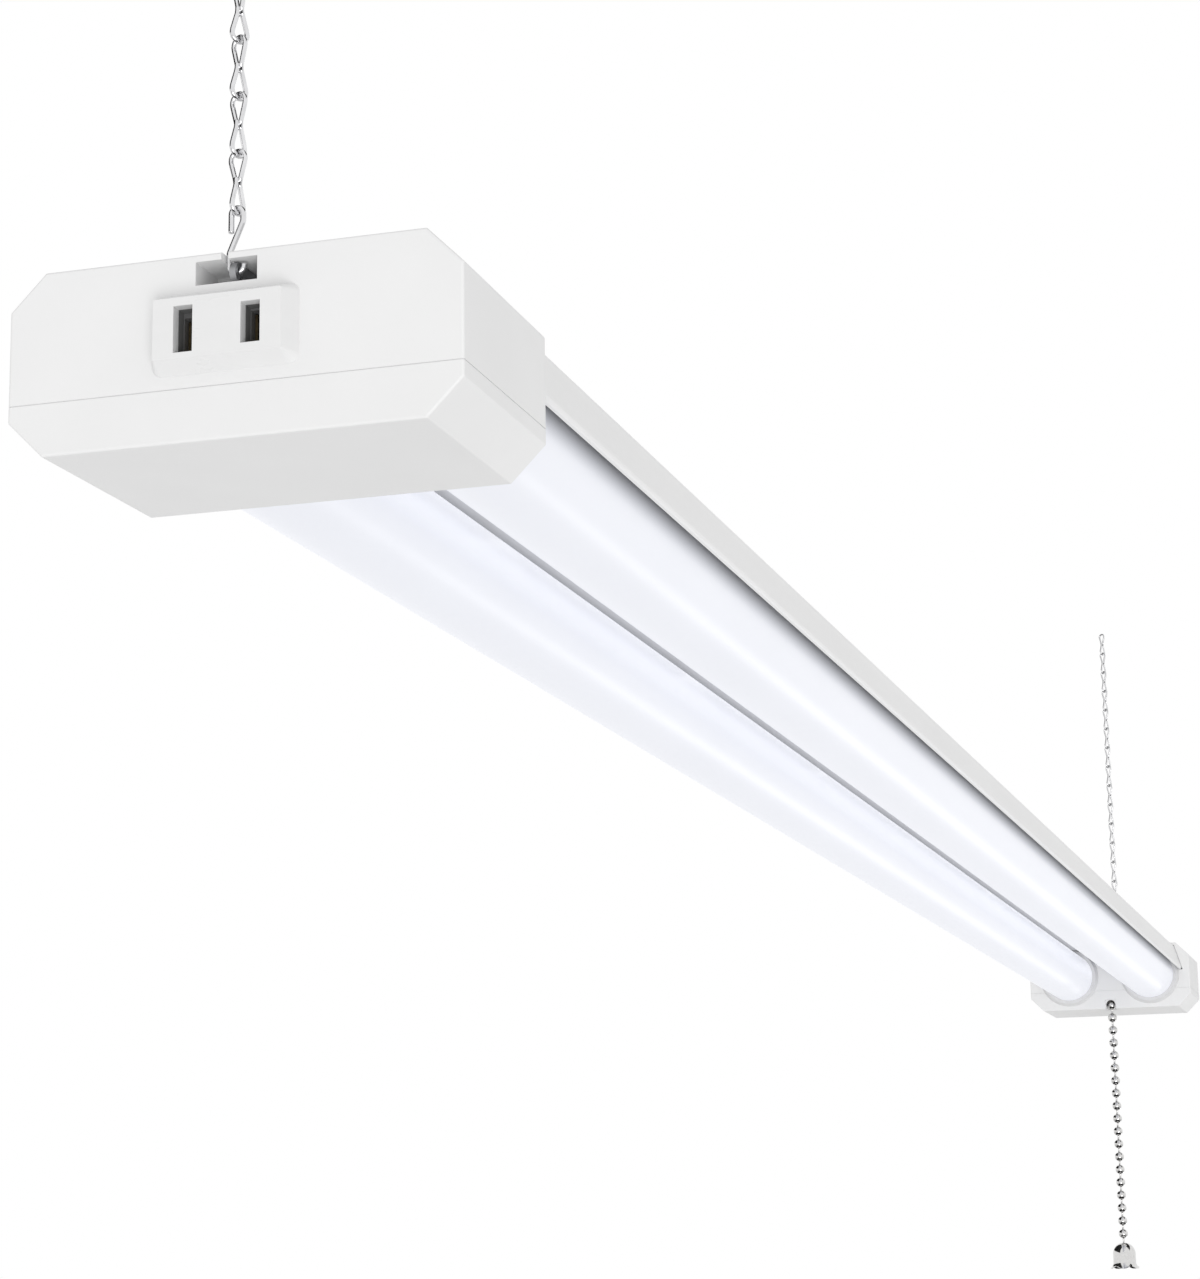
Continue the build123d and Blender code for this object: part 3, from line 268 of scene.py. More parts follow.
def link_grid(x, top, turn):
    """One link whose upper loop's inside ends at a height, with its lower loop turned by an angle.
    The same half outline is drawn twice: upwards in one upright plane, and downwards in the plane
    square to it. The reference direction swings from one plane to the other across the waist."""
    waist = -link_inner / 2
    half = loop_line(waist_half, waist_rise, wire_radius - loop_radius - waist)
    across = np.array([cos(radians(turn)), sin(radians(turn)), 0])
    along = np.array([-sin(radians(turn)), cos(radians(turn)), 0])
    up = np.array([0, 0, 1.0])
    upper = half[:, :1] * along + half[:, 1:] * up
    lower = half[:, :1] * across - half[:, 1:] * up
    first_end = waist_half * along - tuck * up
    last_end = -waist_half * across + tuck * up
    line = np.concatenate([[first_end], upper, lower, [last_end]])
    line = eased(even(line, link_spacing), link_easing)
    share = np.clip((-line[:, 2] / waist_rise + 1) / 2, 0, 1)[:, None]
    from_middle = np.arange(len(line))[:, None] - len(line) / 2
    first_half = from_middle < 0
    near_middle = np.abs(from_middle) < len(line) * twist_share
    blend = np.where(near_middle, share, np.where(first_half, 0.0, 1.0))
    reference = (1 - blend) * across - blend * along
    line = line + np.array([x, 0, top + waist])
    return bar_grid(line, reference, wire_radius)


# %% Hang every stretch of links
last_turn, turn_per_link, full_turn = -15.0, 6.2, -33.6
link_count = 16


def link_turn(number):
    """The links hang turned about the vertical, and the last few untwist towards the hook."""
    return max(full_turn, last_turn - turn_per_link * (link_count - 1 - number))


chain_pieces = []
for end, x in (("socket", hang_x), ("switch", -hang_x)):
    for part, body, first, last in (("ceiling_link", "ceiling_links", 0, 0),
                                    ("swing_link", f"{end}_swing_link", 1, 1),
                                    ("chain", f"{end}_chain", 2, link_count - 1)):
        grids = [link_grid(x, -number * link_pitch, link_turn(number))
                 for number in range(first, last + 1)]
        piece = mesh_from_grids(f"{end}_{part}_wire", grids)
        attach(piece, body)
        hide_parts(f"{end}_end_{part}")
        chain_pieces.append(piece)
print("links:", 2 * link_count, "triangles in a chain:", 2 * len(chain_pieces[2].data.polygons))

# %% [markdown]
# ## Hooks
#
# Each hook is an S of thicker wire in one plane. Its small eye holds the last link, and its open bend
# drops into the hole of the hanger plate inside the cap. A curve drawn by eye would do, but straight
# runs with arcs of a set radius are how a bending tool leaves the wire.

# %% The two hooks
hook_radius = 0.55 * MM
hook_height = 11.9 * MM
eye_half = 1.1 * MM
bend_half = 1.4 * MM
tip_drop = 4.4 * MM
neck_drop = 2.5 * MM
foot_rise = 3.6 * MM
end_rise = 1.4 * MM
hook_spacing = 0.2 * MM
hook_points = [(eye_half, hook_height - tip_drop), (eye_half, hook_height), (-eye_half, hook_height),
               (-eye_half, hook_height - neck_drop), (bend_half, foot_rise), (bend_half, 0),
               (-bend_half, 0), (-bend_half, end_rise)]
hook_bends = [1.09 * MM, 1.09 * MM, 1.6 * MM, 1.6 * MM, 1.39 * MM, 1.3 * MM]
hook_pieces = []
for end, x in (("socket", hang_x), ("switch", -hang_x)):
    flat = even(rounded_line(hook_points, hook_bends), hook_spacing)
    line = np.stack([np.full(len(flat), x), flat[:, 0], hook_bottom + flat[:, 1]], axis=1)
    grid = bar_grid(line, np.array([1.0, 0, 0]), hook_radius, sides=20)
    piece = mesh_from_grids(f"{end}_hook_wire", [grid])
    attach(piece, f"{end}_chain")
    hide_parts(f"{end}_end_hook")
    hook_pieces.append(piece)
print("hooks:", [piece.name for piece in hook_pieces])

# %% [markdown]
# ## Beaded pull chain
#
# Each bead is a hollow ball rolled from a tube, with a hole at each pole. A short rod with two ball
# heads joins one bead to the next. A plain sphere would hide how the chain holds together, because
# the rod has to go in through a hole. So a bead's section is a loop: down the outside, round the lip
# of one hole, up the inside and round the other lip.

# %% Sizes of a bead and its rod
bead_radius = 2.4 * MM
bead_wall = 0.4 * MM
bead_hole = 0.95 * MM
head_radius = 1.05 * MM
neck_radius = 0.5 * MM
head_play = 0.03 * MM
bead_sides = 32
outer_rings, inner_rings = 22, 10
rod_sides = 16
head_rings = 9
head_offset = (sqrt((bead_radius - bead_wall) ** 2 - bead_hole ** 2)
               - sqrt(head_radius ** 2 - bead_hole ** 2) - head_play)
top_bead_z = top_rod_z + head_offset
second_bead_z = second_rod_z - head_offset
bead_pitch = top_bead_z - second_bead_z
upper_last_z = lower_rod_z + head_offset


def bead_grid(z):
    """A hollow bead at a height. Its section is radius times sine and cosine of an angle, from the
    edge of one hole to the edge of the other, on the outer ball and then back on the inner one."""
    outer_start = np.arcsin(bead_hole / bead_radius)
    inner_start = np.arcsin(bead_hole / (bead_radius - bead_wall))
    outer = np.linspace(outer_start, pi - outer_start, outer_rings)
    inner = np.linspace(pi - inner_start, inner_start, inner_rings)
    rows = np.concatenate([
        np.stack([bead_radius * np.sin(outer), bead_radius * np.cos(outer)], axis=1),
        np.stack([(bead_radius - bead_wall) * np.sin(inner), (bead_radius - bead_wall) * np.cos(inner)],
                 axis=1)])
    return turned(rows, (pull_x, 0, z), "Z", bead_sides)


def rod_grid(above, below):
    """A rod from the bead at one height to the bead at the next, with a ball head at each end. Each
    head's section is an arc from the pole to where the ball is as narrow as the neck."""
    high, low = above - head_offset, below + head_offset
    neck = np.arcsin(neck_radius / head_radius)
    ball = np.linspace(0, pi - neck, head_rings)
    top_ball = np.stack([head_radius * np.sin(ball), high + head_radius * np.cos(ball)], axis=1)
    low_ball = np.stack([head_radius * np.sin(ball), low - head_radius * np.cos(ball)], axis=1)[::-1]
    return turned(np.concatenate([top_ball, low_ball]), (pull_x, 0, 0), "Z", rod_sides)


def bead_heights(first, last):
    """Heights of a run of evenly spaced beads, both ends included."""
    return np.arange(int(round((first - last) / bead_pitch)) + 1) * -bead_pitch + first


# %% Thread the stretches of the pull chain
last_gap = 7.6 * MM
lowest_even = last_bead_z + last_gap
stretches = {
    "slider": ([top_bead_z], [], "pull_chain_top_bead"),
    "pull_joint": ([], [(top_bead_z, second_bead_z)], "pull_chain_joint"),
    "pull_upper": (bead_heights(second_bead_z, upper_last_z), None, "pull_chain_upper"),
    "pull_lower": (list(bead_heights(upper_last_z - bead_pitch, lowest_even)) + [last_bead_z], None,
                   "pull_chain_lower"),
}
pull_pieces = []
for body, (heights, rods, node) in stretches.items():
    if rods is None:
        rods = list(zip(heights, heights[1:]))
    if body == "pull_lower":
        rods = [(upper_last_z, heights[0])] + rods
    made = []
    if len(heights):
        beads = mesh_from_grids(f"{node}_beads", [bead_grid(z) for z in heights], close_rows=True)
        made.append(beads)
    if rods:
        made.append(mesh_from_grids(f"{node}_rods", [rod_grid(*pair) for pair in rods]))
    for piece in made:
        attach(piece, body)
        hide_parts(node)
        pull_pieces.append(piece)
print("bead pitch", round(bead_pitch / MM, 3), "mm")

# %% [markdown]
# ## The bell
#
# The bell is one stamped shell. It could be spun from a profile and its rim pulled about by hand, but
# then no two scallops would be alike. Here its section runs from the hole in the crown over the dome,
# down the straight side and out along the flare, and then back up the inside one wall thickness in.
# Five scallops lift the rim and draw it in between their points. Both grow from nothing at the start
# of the flare to their full size at the edge, with the cosine of five times the angle.

# %% The bell's surface
bell_crown = last_bead_z + 2.95 * MM
bell_low = bell_crown - 13.7 * MM
bell_straight_end = bell_crown - 10.4 * MM
bell_radius = 6.0 * MM
bell_wall = 0.5 * MM
bell_hole = 1.3 * MM
bell_flare = 7.7 * MM
flare_power = 1.8
scallops = 5
scallop_lift = 1.2 * MM
scallop_spread = 0.35 * MM
scallop_power = 1.5
dome_rings = 16


def bell_side(inset, sides=120, rows=40):
    """One side of the shell, inset by its wall: grid of crown, side and flare, from hole to rim. The
    dome is a quarter circle. Below it the radius grows with a power of the fall into the flare, and
    the rim is lifted and drawn in by a wave, (1 - cosine of five times the angle) / 2."""
    shoulder = bell_crown - bell_radius
    dome_start = np.arcsin(bell_hole / (bell_radius - inset))
    dome = np.linspace(dome_start, pi / 2, dome_rings)
    dome_rows = np.stack([(bell_radius - inset) * np.sin(dome),
                          shoulder + (bell_radius - inset) * np.cos(dome)], axis=1)
    share = np.linspace(0, 1, rows - dome_rings)[1:]
    z = shoulder + (bell_low - shoulder) * share
    fall = np.clip((bell_straight_end - z) / (bell_straight_end - bell_low), 0, 1)
    radius = bell_radius - inset + (bell_flare - bell_radius) * fall ** flare_power
    side_rows = np.stack([radius, z], axis=1)
    profile = np.concatenate([dome_rows, side_rows])
    fall = np.concatenate([np.zeros(len(dome_rows)), fall])[:, None]
    angle = np.linspace(0, 2 * pi, sides, endpoint=False)[None, :]
    wave = (1 - np.cos(scallops * angle)) / 2
    out = profile[:, :1] - scallop_spread * wave * fall ** 2
    height = profile[:, 1:] + scallop_lift * wave ** scallop_power * fall ** 2
    turn = angle + pi / scallops
    return np.stack([pull_x + out * np.cos(turn), out * np.sin(turn),
                     np.broadcast_to(height, out.shape)], axis=-1)


bell_grid = np.concatenate([bell_side(0), bell_side(bell_wall)[::-1]])
bell = mesh_from_grids("bell_shell", [bell_grid], close_rows=True)
sharpen(bell, 50)
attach(bell, "bell")
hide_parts("pull_bell")
print(f"bell {(bell_crown - bell_low) / MM:.1f} mm high, {2 * bell_flare / MM:.1f} mm across")

# %% [markdown]
# ## Tubes
#
# Each tube is a plain round pipe, open at both ends, with its rims eased. A cylinder with a Solidify
# modifier would come close, but its rims would be sharp, and a sharp rim catches no light. So the
# section is a loop round the wall, carried about the tube's axis.

# %% The two frosted tubes
tube_wall = 1.0 * MM
tube_ease = 0.3 * MM
tube_sides = 128
tube_rings = 25
tube_pieces = []
for side in ("left", "right"):
    low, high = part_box(f"{side}_tube_lens")
    tube_radius = (high.y - low.y) / 2
    tube_aside = abs(low.y + high.y) / 2
    tube_middle = (low.z + high.z) / 2
    inner = tube_radius - tube_wall
    centre = (0, (low.y + high.y) / 2, tube_middle)
    runs = np.linspace(low.x + tube_ease, high.x - tube_ease, tube_rings)
    outside = np.stack([np.full(len(runs), tube_radius), runs], axis=1)
    inside = np.stack([np.full(len(runs), inner), runs[::-1]], axis=1)
    rim_radii = (inner + tube_ease, tube_radius - tube_ease)
    section = np.concatenate([[[radius, low.x] for radius in rim_radii], outside,
                              [[radius, high.x] for radius in rim_radii[::-1]], inside])
    grid = turned(section, centre, "X", tube_sides)
    tube = mesh_from_grids(f"{side}_tube", [grid], close_rows=True)
    sharpen(tube, 40)
    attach(tube, "fixture")
    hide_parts(f"{side}_tube_lens")
    tube_pieces.append(tube)
print(f"tubes {2 * tube_radius / MM:.1f} mm across, {(high.x - low.x) / MM:.0f} mm long")

# %% [markdown]
# ## Chain guide
#
# The pull chain leaves the far cap through a notch in the cap's inner face. A small arch of the same
# plastic lines the notch, so that the bead sits in a neat round mouth. A Boolean could cut the mouth
# out of a block, but it leaves long, thin faces. Here the arch is a band: its inner line follows the
# bead's outline and its outer line follows the notch, and both are carried back by its thickness.

# %% The arch in the notch
guide_inner = 2.5 * MM
guide_outer_half = 2.75 * MM
guide_top = 4.75 * MM
guide_thickness = 1.7 * MM
guide_inset = 0.03 * MM
foot_inset = 0.02 * MM
guide_points = 25
guide_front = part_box("switch_cap_cover")[0].x + guide_inset
guide_back = guide_front + guide_thickness
guide_angle = np.linspace(0, pi, guide_points)
arch_y = guide_inner * np.cos(guide_angle)
arch_z = top_bead_z + guide_inner * np.sin(guide_angle)
# A ray from the bead's middle meets the notch at the nearer of its side and its top.
notch_share = np.maximum(np.abs(np.cos(guide_angle)) / guide_outer_half,
                         np.sin(guide_angle) / (underside + guide_top - top_bead_z))
rim_y = np.cos(guide_angle) / notch_share
rim_z = top_bead_z + np.sin(guide_angle) / notch_share


def with_feet(y, z):
    """A line over the arch, with its two ends carried straight down to the cap's underside."""
    foot = underside + foot_inset
    return np.stack([np.concatenate([y[:1], y, y[-1:]]), np.concatenate([[foot], z, [foot]])], axis=1)


mouth = with_feet(arch_y, arch_z)
rim = with_feet(rim_y, rim_z)
corners = ((mouth, guide_front), (mouth, guide_back), (rim, guide_back), (rim, guide_front))
guide_grid = np.stack([np.column_stack([np.full(len(line), x), line]) for line, x in corners], axis=1)
chain_guide = mesh_from_grids("chain_guide", [guide_grid])
sharpen(chain_guide, 35)
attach(chain_guide, "fixture")
print("arch faces:", len(chain_guide.data.polygons))

# %% [markdown]
# ## The switch's spring
#
# Inside the far cap a coil spring pushes the slider back up after each pull. It is one steel wire on a
# helix: the angle and the height both grow evenly along it.

# %% The return spring
spring_wire_radius = 0.25 * MM
spring_turns = 6
points_per_turn = 40
spring_low, spring_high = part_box("return_spring")
spring_x = (spring_low.x + spring_high.x) / 2
coil_radius = (spring_high.y - spring_low.y) / 2 - spring_wire_radius
coil_angle = np.linspace(0, 2 * pi * spring_turns, points_per_turn * spring_turns + 1)
coil_z = np.linspace(spring_low.z + spring_wire_radius, spring_high.z - spring_wire_radius,
                     len(coil_angle))
coil_line = np.stack([spring_x + coil_radius * np.cos(coil_angle),
                      coil_radius * np.sin(coil_angle), coil_z], axis=1)
spring = mesh_from_grids("return_spring_coil",
                         [bar_grid(coil_line, np.array([0, 0, 1.0]), spring_wire_radius)])
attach(spring, "fixture")
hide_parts("return_spring")
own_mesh(spring)

# %% [markdown]
# ## Finishes
#
# Real finishes are never one flat colour. Each material below starts from a plain shader and adds what
# its maker's process leaves: orange peel in powder coat, spark-eroded grain on moulded plastic, drawn
# lines along wire, a soft haze inside frosted plastic. Painted images could hold the same marks, but
# they would blur close up. The patterns here are worked out at each point from the object's own
# coordinates in metres, so a scale of 1000 is a pattern about a millimetre across.

# %% Building blocks for the materials
# A cloudy pattern seldom leaves this range, so it is what gets spread over the wanted values.
pattern_low, pattern_high = 0.3, 0.7


class Finish:
    """A material with its shader, its object coordinates and a few helpers to wire nodes."""

    def __init__(self, name):
        self.material = bpy.data.materials.new(name)
        self.material.use_nodes = True
        self.tree = self.material.node_tree
        self.shader = self.tree.nodes["Principled BSDF"]
        self.place = self.node("ShaderNodeTexCoord").outputs["Object"]

    def node(self, kind, **values):
        """A new node with its named inputs set."""
        made = self.tree.nodes.new(kind)
        for key, value in values.items():
            made.inputs[key.replace("_", " ")].default_value = value
        return made

    def link(self, out, into):
        self.tree.links.new(out, into)

    def stretched(self, scale):
        """Object coordinates scaled differently along X, Y and Z."""
        mapping = self.node("ShaderNodeMapping")
        mapping.inputs["Scale"].default_value = scale
        self.link(self.place, mapping.inputs["Vector"])
        return mapping.outputs["Vector"]

    def noise(self, scale, detail=3.0, roughness=0.5, place=None):
        """Cloudy pattern, from 0 to 1."""
        made = self.node("ShaderNodeTexNoise", Scale=scale, Detail=detail, Roughness=roughness)
        self.link(place or self.place, made.inputs["Vector"])
        return made.outputs["Fac"]

    def spread(self, value, start, end, low, high, kind="LINEAR"):
        """A value's range from start to end spread from low to high, and held beyond both."""
        made = self.node("ShaderNodeMapRange", From_Min=start, From_Max=end, To_Min=low, To_Max=high)
        made.interpolation_type = kind
        self.link(value, made.inputs["Value"])
        return made.outputs["Result"]

    def maths(self, operation, *values):
        """Result of a Math node on up to three values, each a number or another node's output."""
        made = self.node("ShaderNodeMath")
        made.operation = operation
        for value, socket in zip(values, made.inputs):
            if isinstance(value, bpy.types.NodeSocket):
                self.link(value, socket)
            else:
                socket.default_value = value
        return made.outputs["Value"]

    def axes(self):
        """The object coordinates as three separate values, named X, Y and Z."""
        made = self.node("ShaderNodeSeparateXYZ")
        self.link(self.place, made.inputs["Vector"])
        return made.outputs

    def colour(self, pattern, dark, light):
        """Base colour between two colours, by a pattern."""
        ramp = self.node("ShaderNodeValToRGB")
        ends = ((pattern_low, dark), (pattern_high, light))
        for element, (position, colour) in zip(ramp.color_ramp.elements, ends):
            element.position = position
            element.color = (*colour, 1)
        self.link(pattern, ramp.inputs["Fac"])
        self.link(ramp.outputs["Color"], self.shader.inputs["Base Color"])

    def roughness(self, pattern, low, high):
        """Roughness between two values, by a pattern."""
        across = self.spread(pattern, pattern_low, pattern_high, low, high)
        self.link(across, self.shader.inputs["Roughness"])

    def bump(self, pattern, depth, strength=1.0):
        """Surface relief of a depth, in metres, on top of any relief already there."""
        made = self.node("ShaderNodeBump", Strength=strength, Distance=depth)
        self.link(pattern, made.inputs["Height"])
        wired = self.shader.inputs["Normal"].links
        if wired:
            self.link(wired[0].from_socket, made.inputs["Normal"])
        self.link(made.outputs["Normal"], self.shader.inputs["Normal"])

    def set(self, **values):
        """Plain values on the shader's own sockets."""
        for key, value in values.items():
            self.shader.inputs[key.replace("_", " ")].default_value = value


# %% [markdown]
# ### White powder coat and moulded caps
#
# Powder coat melts into a skin with a faint orange peel, about a millimetre or two across and only a
# hundredth deep, over a satin sheen. The caps come from an eroded mould, so their grain is finer and
# their sheen is duller. The relief could be cut into the mesh, but at this depth it only bends the
# light, which a bump does for nothing.

# %% Powder coat on the housing
def powder_coat():
    """Satin white with orange peel and a slow, faint drift of tone along the sheet."""
    finish = Finish("white_powder_coat")
    peel = finish.noise(700, detail=2, roughness=0.4)
    drift = finish.noise(9, detail=2)
    finish.colour(drift, (0.82, 0.82, 0.82), (0.845, 0.845, 0.845))
    finish.roughness(peel, 0.36, 0.44)
    finish.bump(peel, 0.00002, 0.35)
    return finish.material


# %% Moulded plastic of the end caps
def cap_plastic():
    """Matt white with fine eroded grain and a faint cloudiness from the mould."""
    finish = Finish("moulded_white_cap")
    grain = finish.noise(4200, detail=3, roughness=0.6)
    cloud = finish.noise(40, detail=3)
    finish.colour(cloud, (0.80, 0.80, 0.80), (0.82, 0.82, 0.82))
    finish.roughness(grain, 0.46, 0.56)
    finish.bump(grain, 0.00002, 0.25)
    return finish.material


# %% Smooth plastic of the socket, with painted shade behind its slots
block_low, block_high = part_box("outlet_block")
slot_mouth = 2.2 * MM
slot_drop = 14.8 * MM
chamber_reach = (8.0 * MM, 9.0 * MM, 4.45 * MM)
chamber_middle = (block_low.x + slot_mouth + chamber_reach[0], (block_low.y + block_high.y) / 2,
                  cap_high.z - slot_drop)
# Painted shade: the chamber behind the slots is painted dark grey to stand in for the shade deep in the socket.
chamber_painted_shade = (0.16, 0.16, 0.16)


def socket_plastic():
    """Glossier white than the caps, with a trace of flow marks. It is painted dark grey where a point lies
    in the chamber behind the slots, as painted shade for that deep recess; the chamber is a box: near
    enough to its middle along all three axes."""
    finish = Finish("smooth_white_socket")
    flow = finish.noise(90, detail=4, place=finish.stretched((1, 1, 3)))
    finish.colour(flow, (0.765, 0.765, 0.765), (0.785, 0.785, 0.785))
    axes = finish.axes()
    inside = 1.0
    for axis, middle, reach in zip("XYZ", chamber_middle, chamber_reach):
        near = finish.maths("COMPARE", axes[axis], middle, reach)
        inside = finish.maths("MULTIPLY", near, inside)
    white = finish.shader.inputs["Base Color"].links[0].from_socket
    mix = finish.node("ShaderNodeMix")
    mix.data_type = "RGBA"
    mix.inputs["B"].default_value = (*chamber_painted_shade, 1)
    finish.link(inside, mix.inputs["Factor"])
    finish.link(white, mix.inputs["A"])
    finish.link(mix.outputs["Result"], finish.shader.inputs["Base Color"])
    finish.roughness(flow, 0.26, 0.34)
    finish.bump(finish.noise(2600, detail=2), 0.00001, 0.2)
    return finish.material


# %% [markdown]
# ### Frosted tubes and their collars
#
# The tube is clear plastic with a light-scattering skin. It shows a broad, soft highlight instead of a
# mirror line, a slightly cool white, and a haze of very fine sparkle. Real scattering through the wall
# could be traced, but it is slow and leaves noise, so a faint glow stands for the light that has gone
# through. The glow is also painted light, which lifts the shade between the two tubes and under the
# housing's edge. The collar is a soft sealing ring, so it is duller and a shade darker.

# %% Frosted tube
# Painted light: a glow on the tube walls lifts the shade between the tubes and under the housing's edge.
painted_glow_strength = 0.48
glow_lean = 0.5
glow_full = 0.38
glow_none = 1.1
facing_painted_glow = 0.17
facing_lean = 0.8
facing_none = 0.4
facing_full = 1.0


def frosted_tube():
    """Cool white under a soft sheen. The strip inside shines down, so the faint glow is full where the wall
    faces down or inwards. The glow is also painted light, which lifts the shade between the tubes and
    under the housing's edge. It fades out where the wall faces up and outwards, by a smooth step of the
    height plus a share of the distance out. The sides that face each other get a little more painted
    light where they face up, by a second smooth step, of the height less a share of the distance out."""
    finish = Finish("frosted_tube_plastic")
    haze = finish.noise(26, detail=3)
    sparkle = finish.noise(5200, detail=2)
    finish.colour(haze, (0.43, 0.437, 0.465), (0.445, 0.452, 0.48))
    finish.roughness(sparkle, 0.34, 0.42)
    finish.bump(sparkle, 0.00001, 0.2)
    axes = finish.axes()
    aside = finish.maths("ABSOLUTE", axes["Y"])
    height = finish.maths("MULTIPLY_ADD", aside, glow_lean, axes["Z"])
    level = tube_middle + glow_lean * tube_aside
    glow = finish.spread(height, level + glow_full * tube_radius, level + glow_none * tube_radius,
                         painted_glow_strength, 0.0, "SMOOTHSTEP")
    # Painted light on the sides that face each other, which lifts the shade in the gap between the tubes.
    height = finish.maths("MULTIPLY_ADD", aside, -facing_lean, axes["Z"])
    level = tube_middle - facing_lean * tube_aside
    facing = finish.spread(height, level + facing_none * tube_radius,
                           level + facing_full * tube_radius, 0.0, facing_painted_glow, "SMOOTHSTEP")
    both = finish.maths("ADD", glow, facing)
    finish.link(both, finish.shader.inputs["Emission Strength"])
    finish.set(Emission_Color=(0.86, 0.875, 0.93, 1))
    return finish.material


# %% Sealing ring
def seal_rubber():
    """Light grey, nearly matt, with a powdery bloom."""
    finish = Finish("grey_seal")
    bloom = finish.noise(260, detail=4, roughness=0.65)
    finish.colour(bloom, (0.66, 0.66, 0.665), (0.71, 0.71, 0.715))
    finish.roughness(bloom, 0.55, 0.68)
    finish.bump(bloom, 0.00003, 0.25)
    return finish.material


# %% [markdown]
# ### Wire, beads and sheet metal
#
# Chain wire is drawn through a die before it is plated, so fine lines run along it and the plating is
# uneven. Beads and bell are rolled and tumbled, which leaves them brighter, with tiny dents. A
# stretched highlight could draw the wire's lines too, but a stretched pattern also shows where there
# is no lamp.

# %% Plated chain wire
def chain_wire():
    """Bright zinc with patches of duller plating."""
    finish = Finish("zinc_plated_wire")
    patches = finish.noise(420, detail=4, roughness=0.6)
    finish.colour(patches, (0.68, 0.68, 0.69), (0.80, 0.80, 0.81))
    finish.roughness(patches, 0.12, 0.2)
    finish.bump(finish.noise(1800, detail=3, place=finish.stretched((1, 1, 0.15))), 0.00001, 0.15)
    finish.set(Metallic=1.0)
    return finish.material


# %% Nickel beads and bell
def bright_beads():
    """Polished nickel with faint tumbling marks."""
    finish = Finish("nickel_plated_bead")
    marks = finish.noise(900, detail=5, roughness=0.7)
    finish.colour(marks, (0.62, 0.615, 0.61), (0.76, 0.755, 0.745))
    finish.roughness(marks, 0.06, 0.15)
    finish.bump(marks, 0.00001, 0.25)
    finish.set(Metallic=1.0)
    return finish.material


# %% Zinc-plated sheet, screws and rivets
def zinc_sheet(name="zinc_plated_sheet", spangle_scale=160):
    """Plated steel with a soft spangle."""
    finish = Finish(name)
    cells = finish.node("ShaderNodeTexVoronoi", Scale=spangle_scale)
    finish.link(finish.place, cells.inputs["Vector"])
    finish.colour(cells.outputs["Distance"], (0.30, 0.305, 0.315), (0.40, 0.405, 0.415))
    finish.roughness(finish.noise(300, detail=3), 0.34, 0.46)
    finish.set(Metallic=1.0)
    return finish.material


def spring_wire():
    """Hard, bright wire with drawn lines."""
    finish = Finish("bright_spring_steel")
    lines = finish.noise(1400, detail=4, place=finish.stretched((1, 1, 0.2)))
    finish.colour(lines, (0.42, 0.42, 0.43), (0.58, 0.58, 0.6))
    finish.roughness(lines, 0.2, 0.34)
    finish.set(Metallic=1.0)
    return finish.material


def bare_aluminium():
    """Extruded strip: long die lines and a dull sheen."""
    finish = Finish("extruded_aluminium")
    lines = finish.noise(1200, detail=4, place=finish.stretched((0.01, 1, 1)))
    finish.colour(lines, (0.66, 0.67, 0.69), (0.76, 0.77, 0.79))
    finish.roughness(lines, 0.3, 0.45)
    finish.bump(lines, 0.00001, 0.3)
    finish.set(Metallic=1.0)
    return finish.material


def stamped_brass():
    """Brass strip with a little tarnish, painted far darker than bright brass as painted shade for the socket's
    slots.
    """
    finish = Finish("stamped_brass")
    tarnish = finish.noise(500, detail=5, roughness=0.65)
    # Painted shade: these colours are much darker than brass, to stand in for the shade inside the socket's slots.
    finish.colour(tarnish, (0.09, 0.07, 0.04), (0.17, 0.13, 0.07))
    finish.roughness(tarnish, 0.42, 0.58)
    finish.set(Metallic=1.0)
    return finish.material


# %% [markdown]
# ### What is inside
#
# The driver, the wires and the switch are seen only when the light is opened, but each still gets the
# finish of its trade: sleeve, lacquer, ferrite and moulded nylon. A function for each would say the
# same thing ten times, so one function makes all plain plastics, each with its own grain.

# %% Plastics, boards and wires
def plain_plastic(name, dark, light, rough=(0.4, 0.55), grain=1500, depth=0.00002):
    """Moulded or extruded plastic with a grain of its own."""
    finish = Finish(name)
    texture = finish.noise(grain, detail=3, roughness=0.55)
    cloud = finish.noise(70, detail=3)
    finish.colour(cloud, dark, light)
    finish.roughness(texture, *rough)
    finish.bump(texture, depth, 0.25)
    return finish.material


def circuit_board():
    """Green lacquer over a faint weave and copper tracks."""
    finish = Finish("green_circuit_board")
    tracks = finish.node("ShaderNodeTexBrick", Scale=140)
    tracks.inputs["Color1"].default_value = (0.02, 0.16, 0.07, 1)
    tracks.inputs["Color2"].default_value = (0.03, 0.20, 0.09, 1)
    tracks.inputs["Mortar"].default_value = (0.05, 0.27, 0.12, 1)
    finish.link(finish.place, tracks.inputs["Vector"])
    finish.link(tracks.outputs["Color"], finish.shader.inputs["Base Color"])
    finish.roughness(finish.noise(900), 0.3, 0.4)
    finish.set(Coat_Weight=0.4, Coat_Roughness=0.15)
    return finish.material


def phosphor():
    """Yellow phosphor pads in white packages."""
    finish = Finish("led_phosphor")
    finish.colour(finish.noise(1100, detail=2), (0.78, 0.68, 0.30), (0.9, 0.84, 0.56))
    finish.roughness(finish.noise(2000), 0.3, 0.45)
    return finish.material


def wound_copper():
    """Enamelled winding: fine rings across the part."""
    finish = Finish("enamelled_copper")
    rings = finish.noise(2400, detail=2, place=finish.stretched((1, 0.3, 1)))
    finish.colour(rings, (0.36, 0.12, 0.04), (0.62, 0.27, 0.10))
    finish.roughness(rings, 0.2, 0.35)
    finish.bump(rings, 0.00005, 0.5)
    finish.set(Metallic=0.6)
    return finish.material


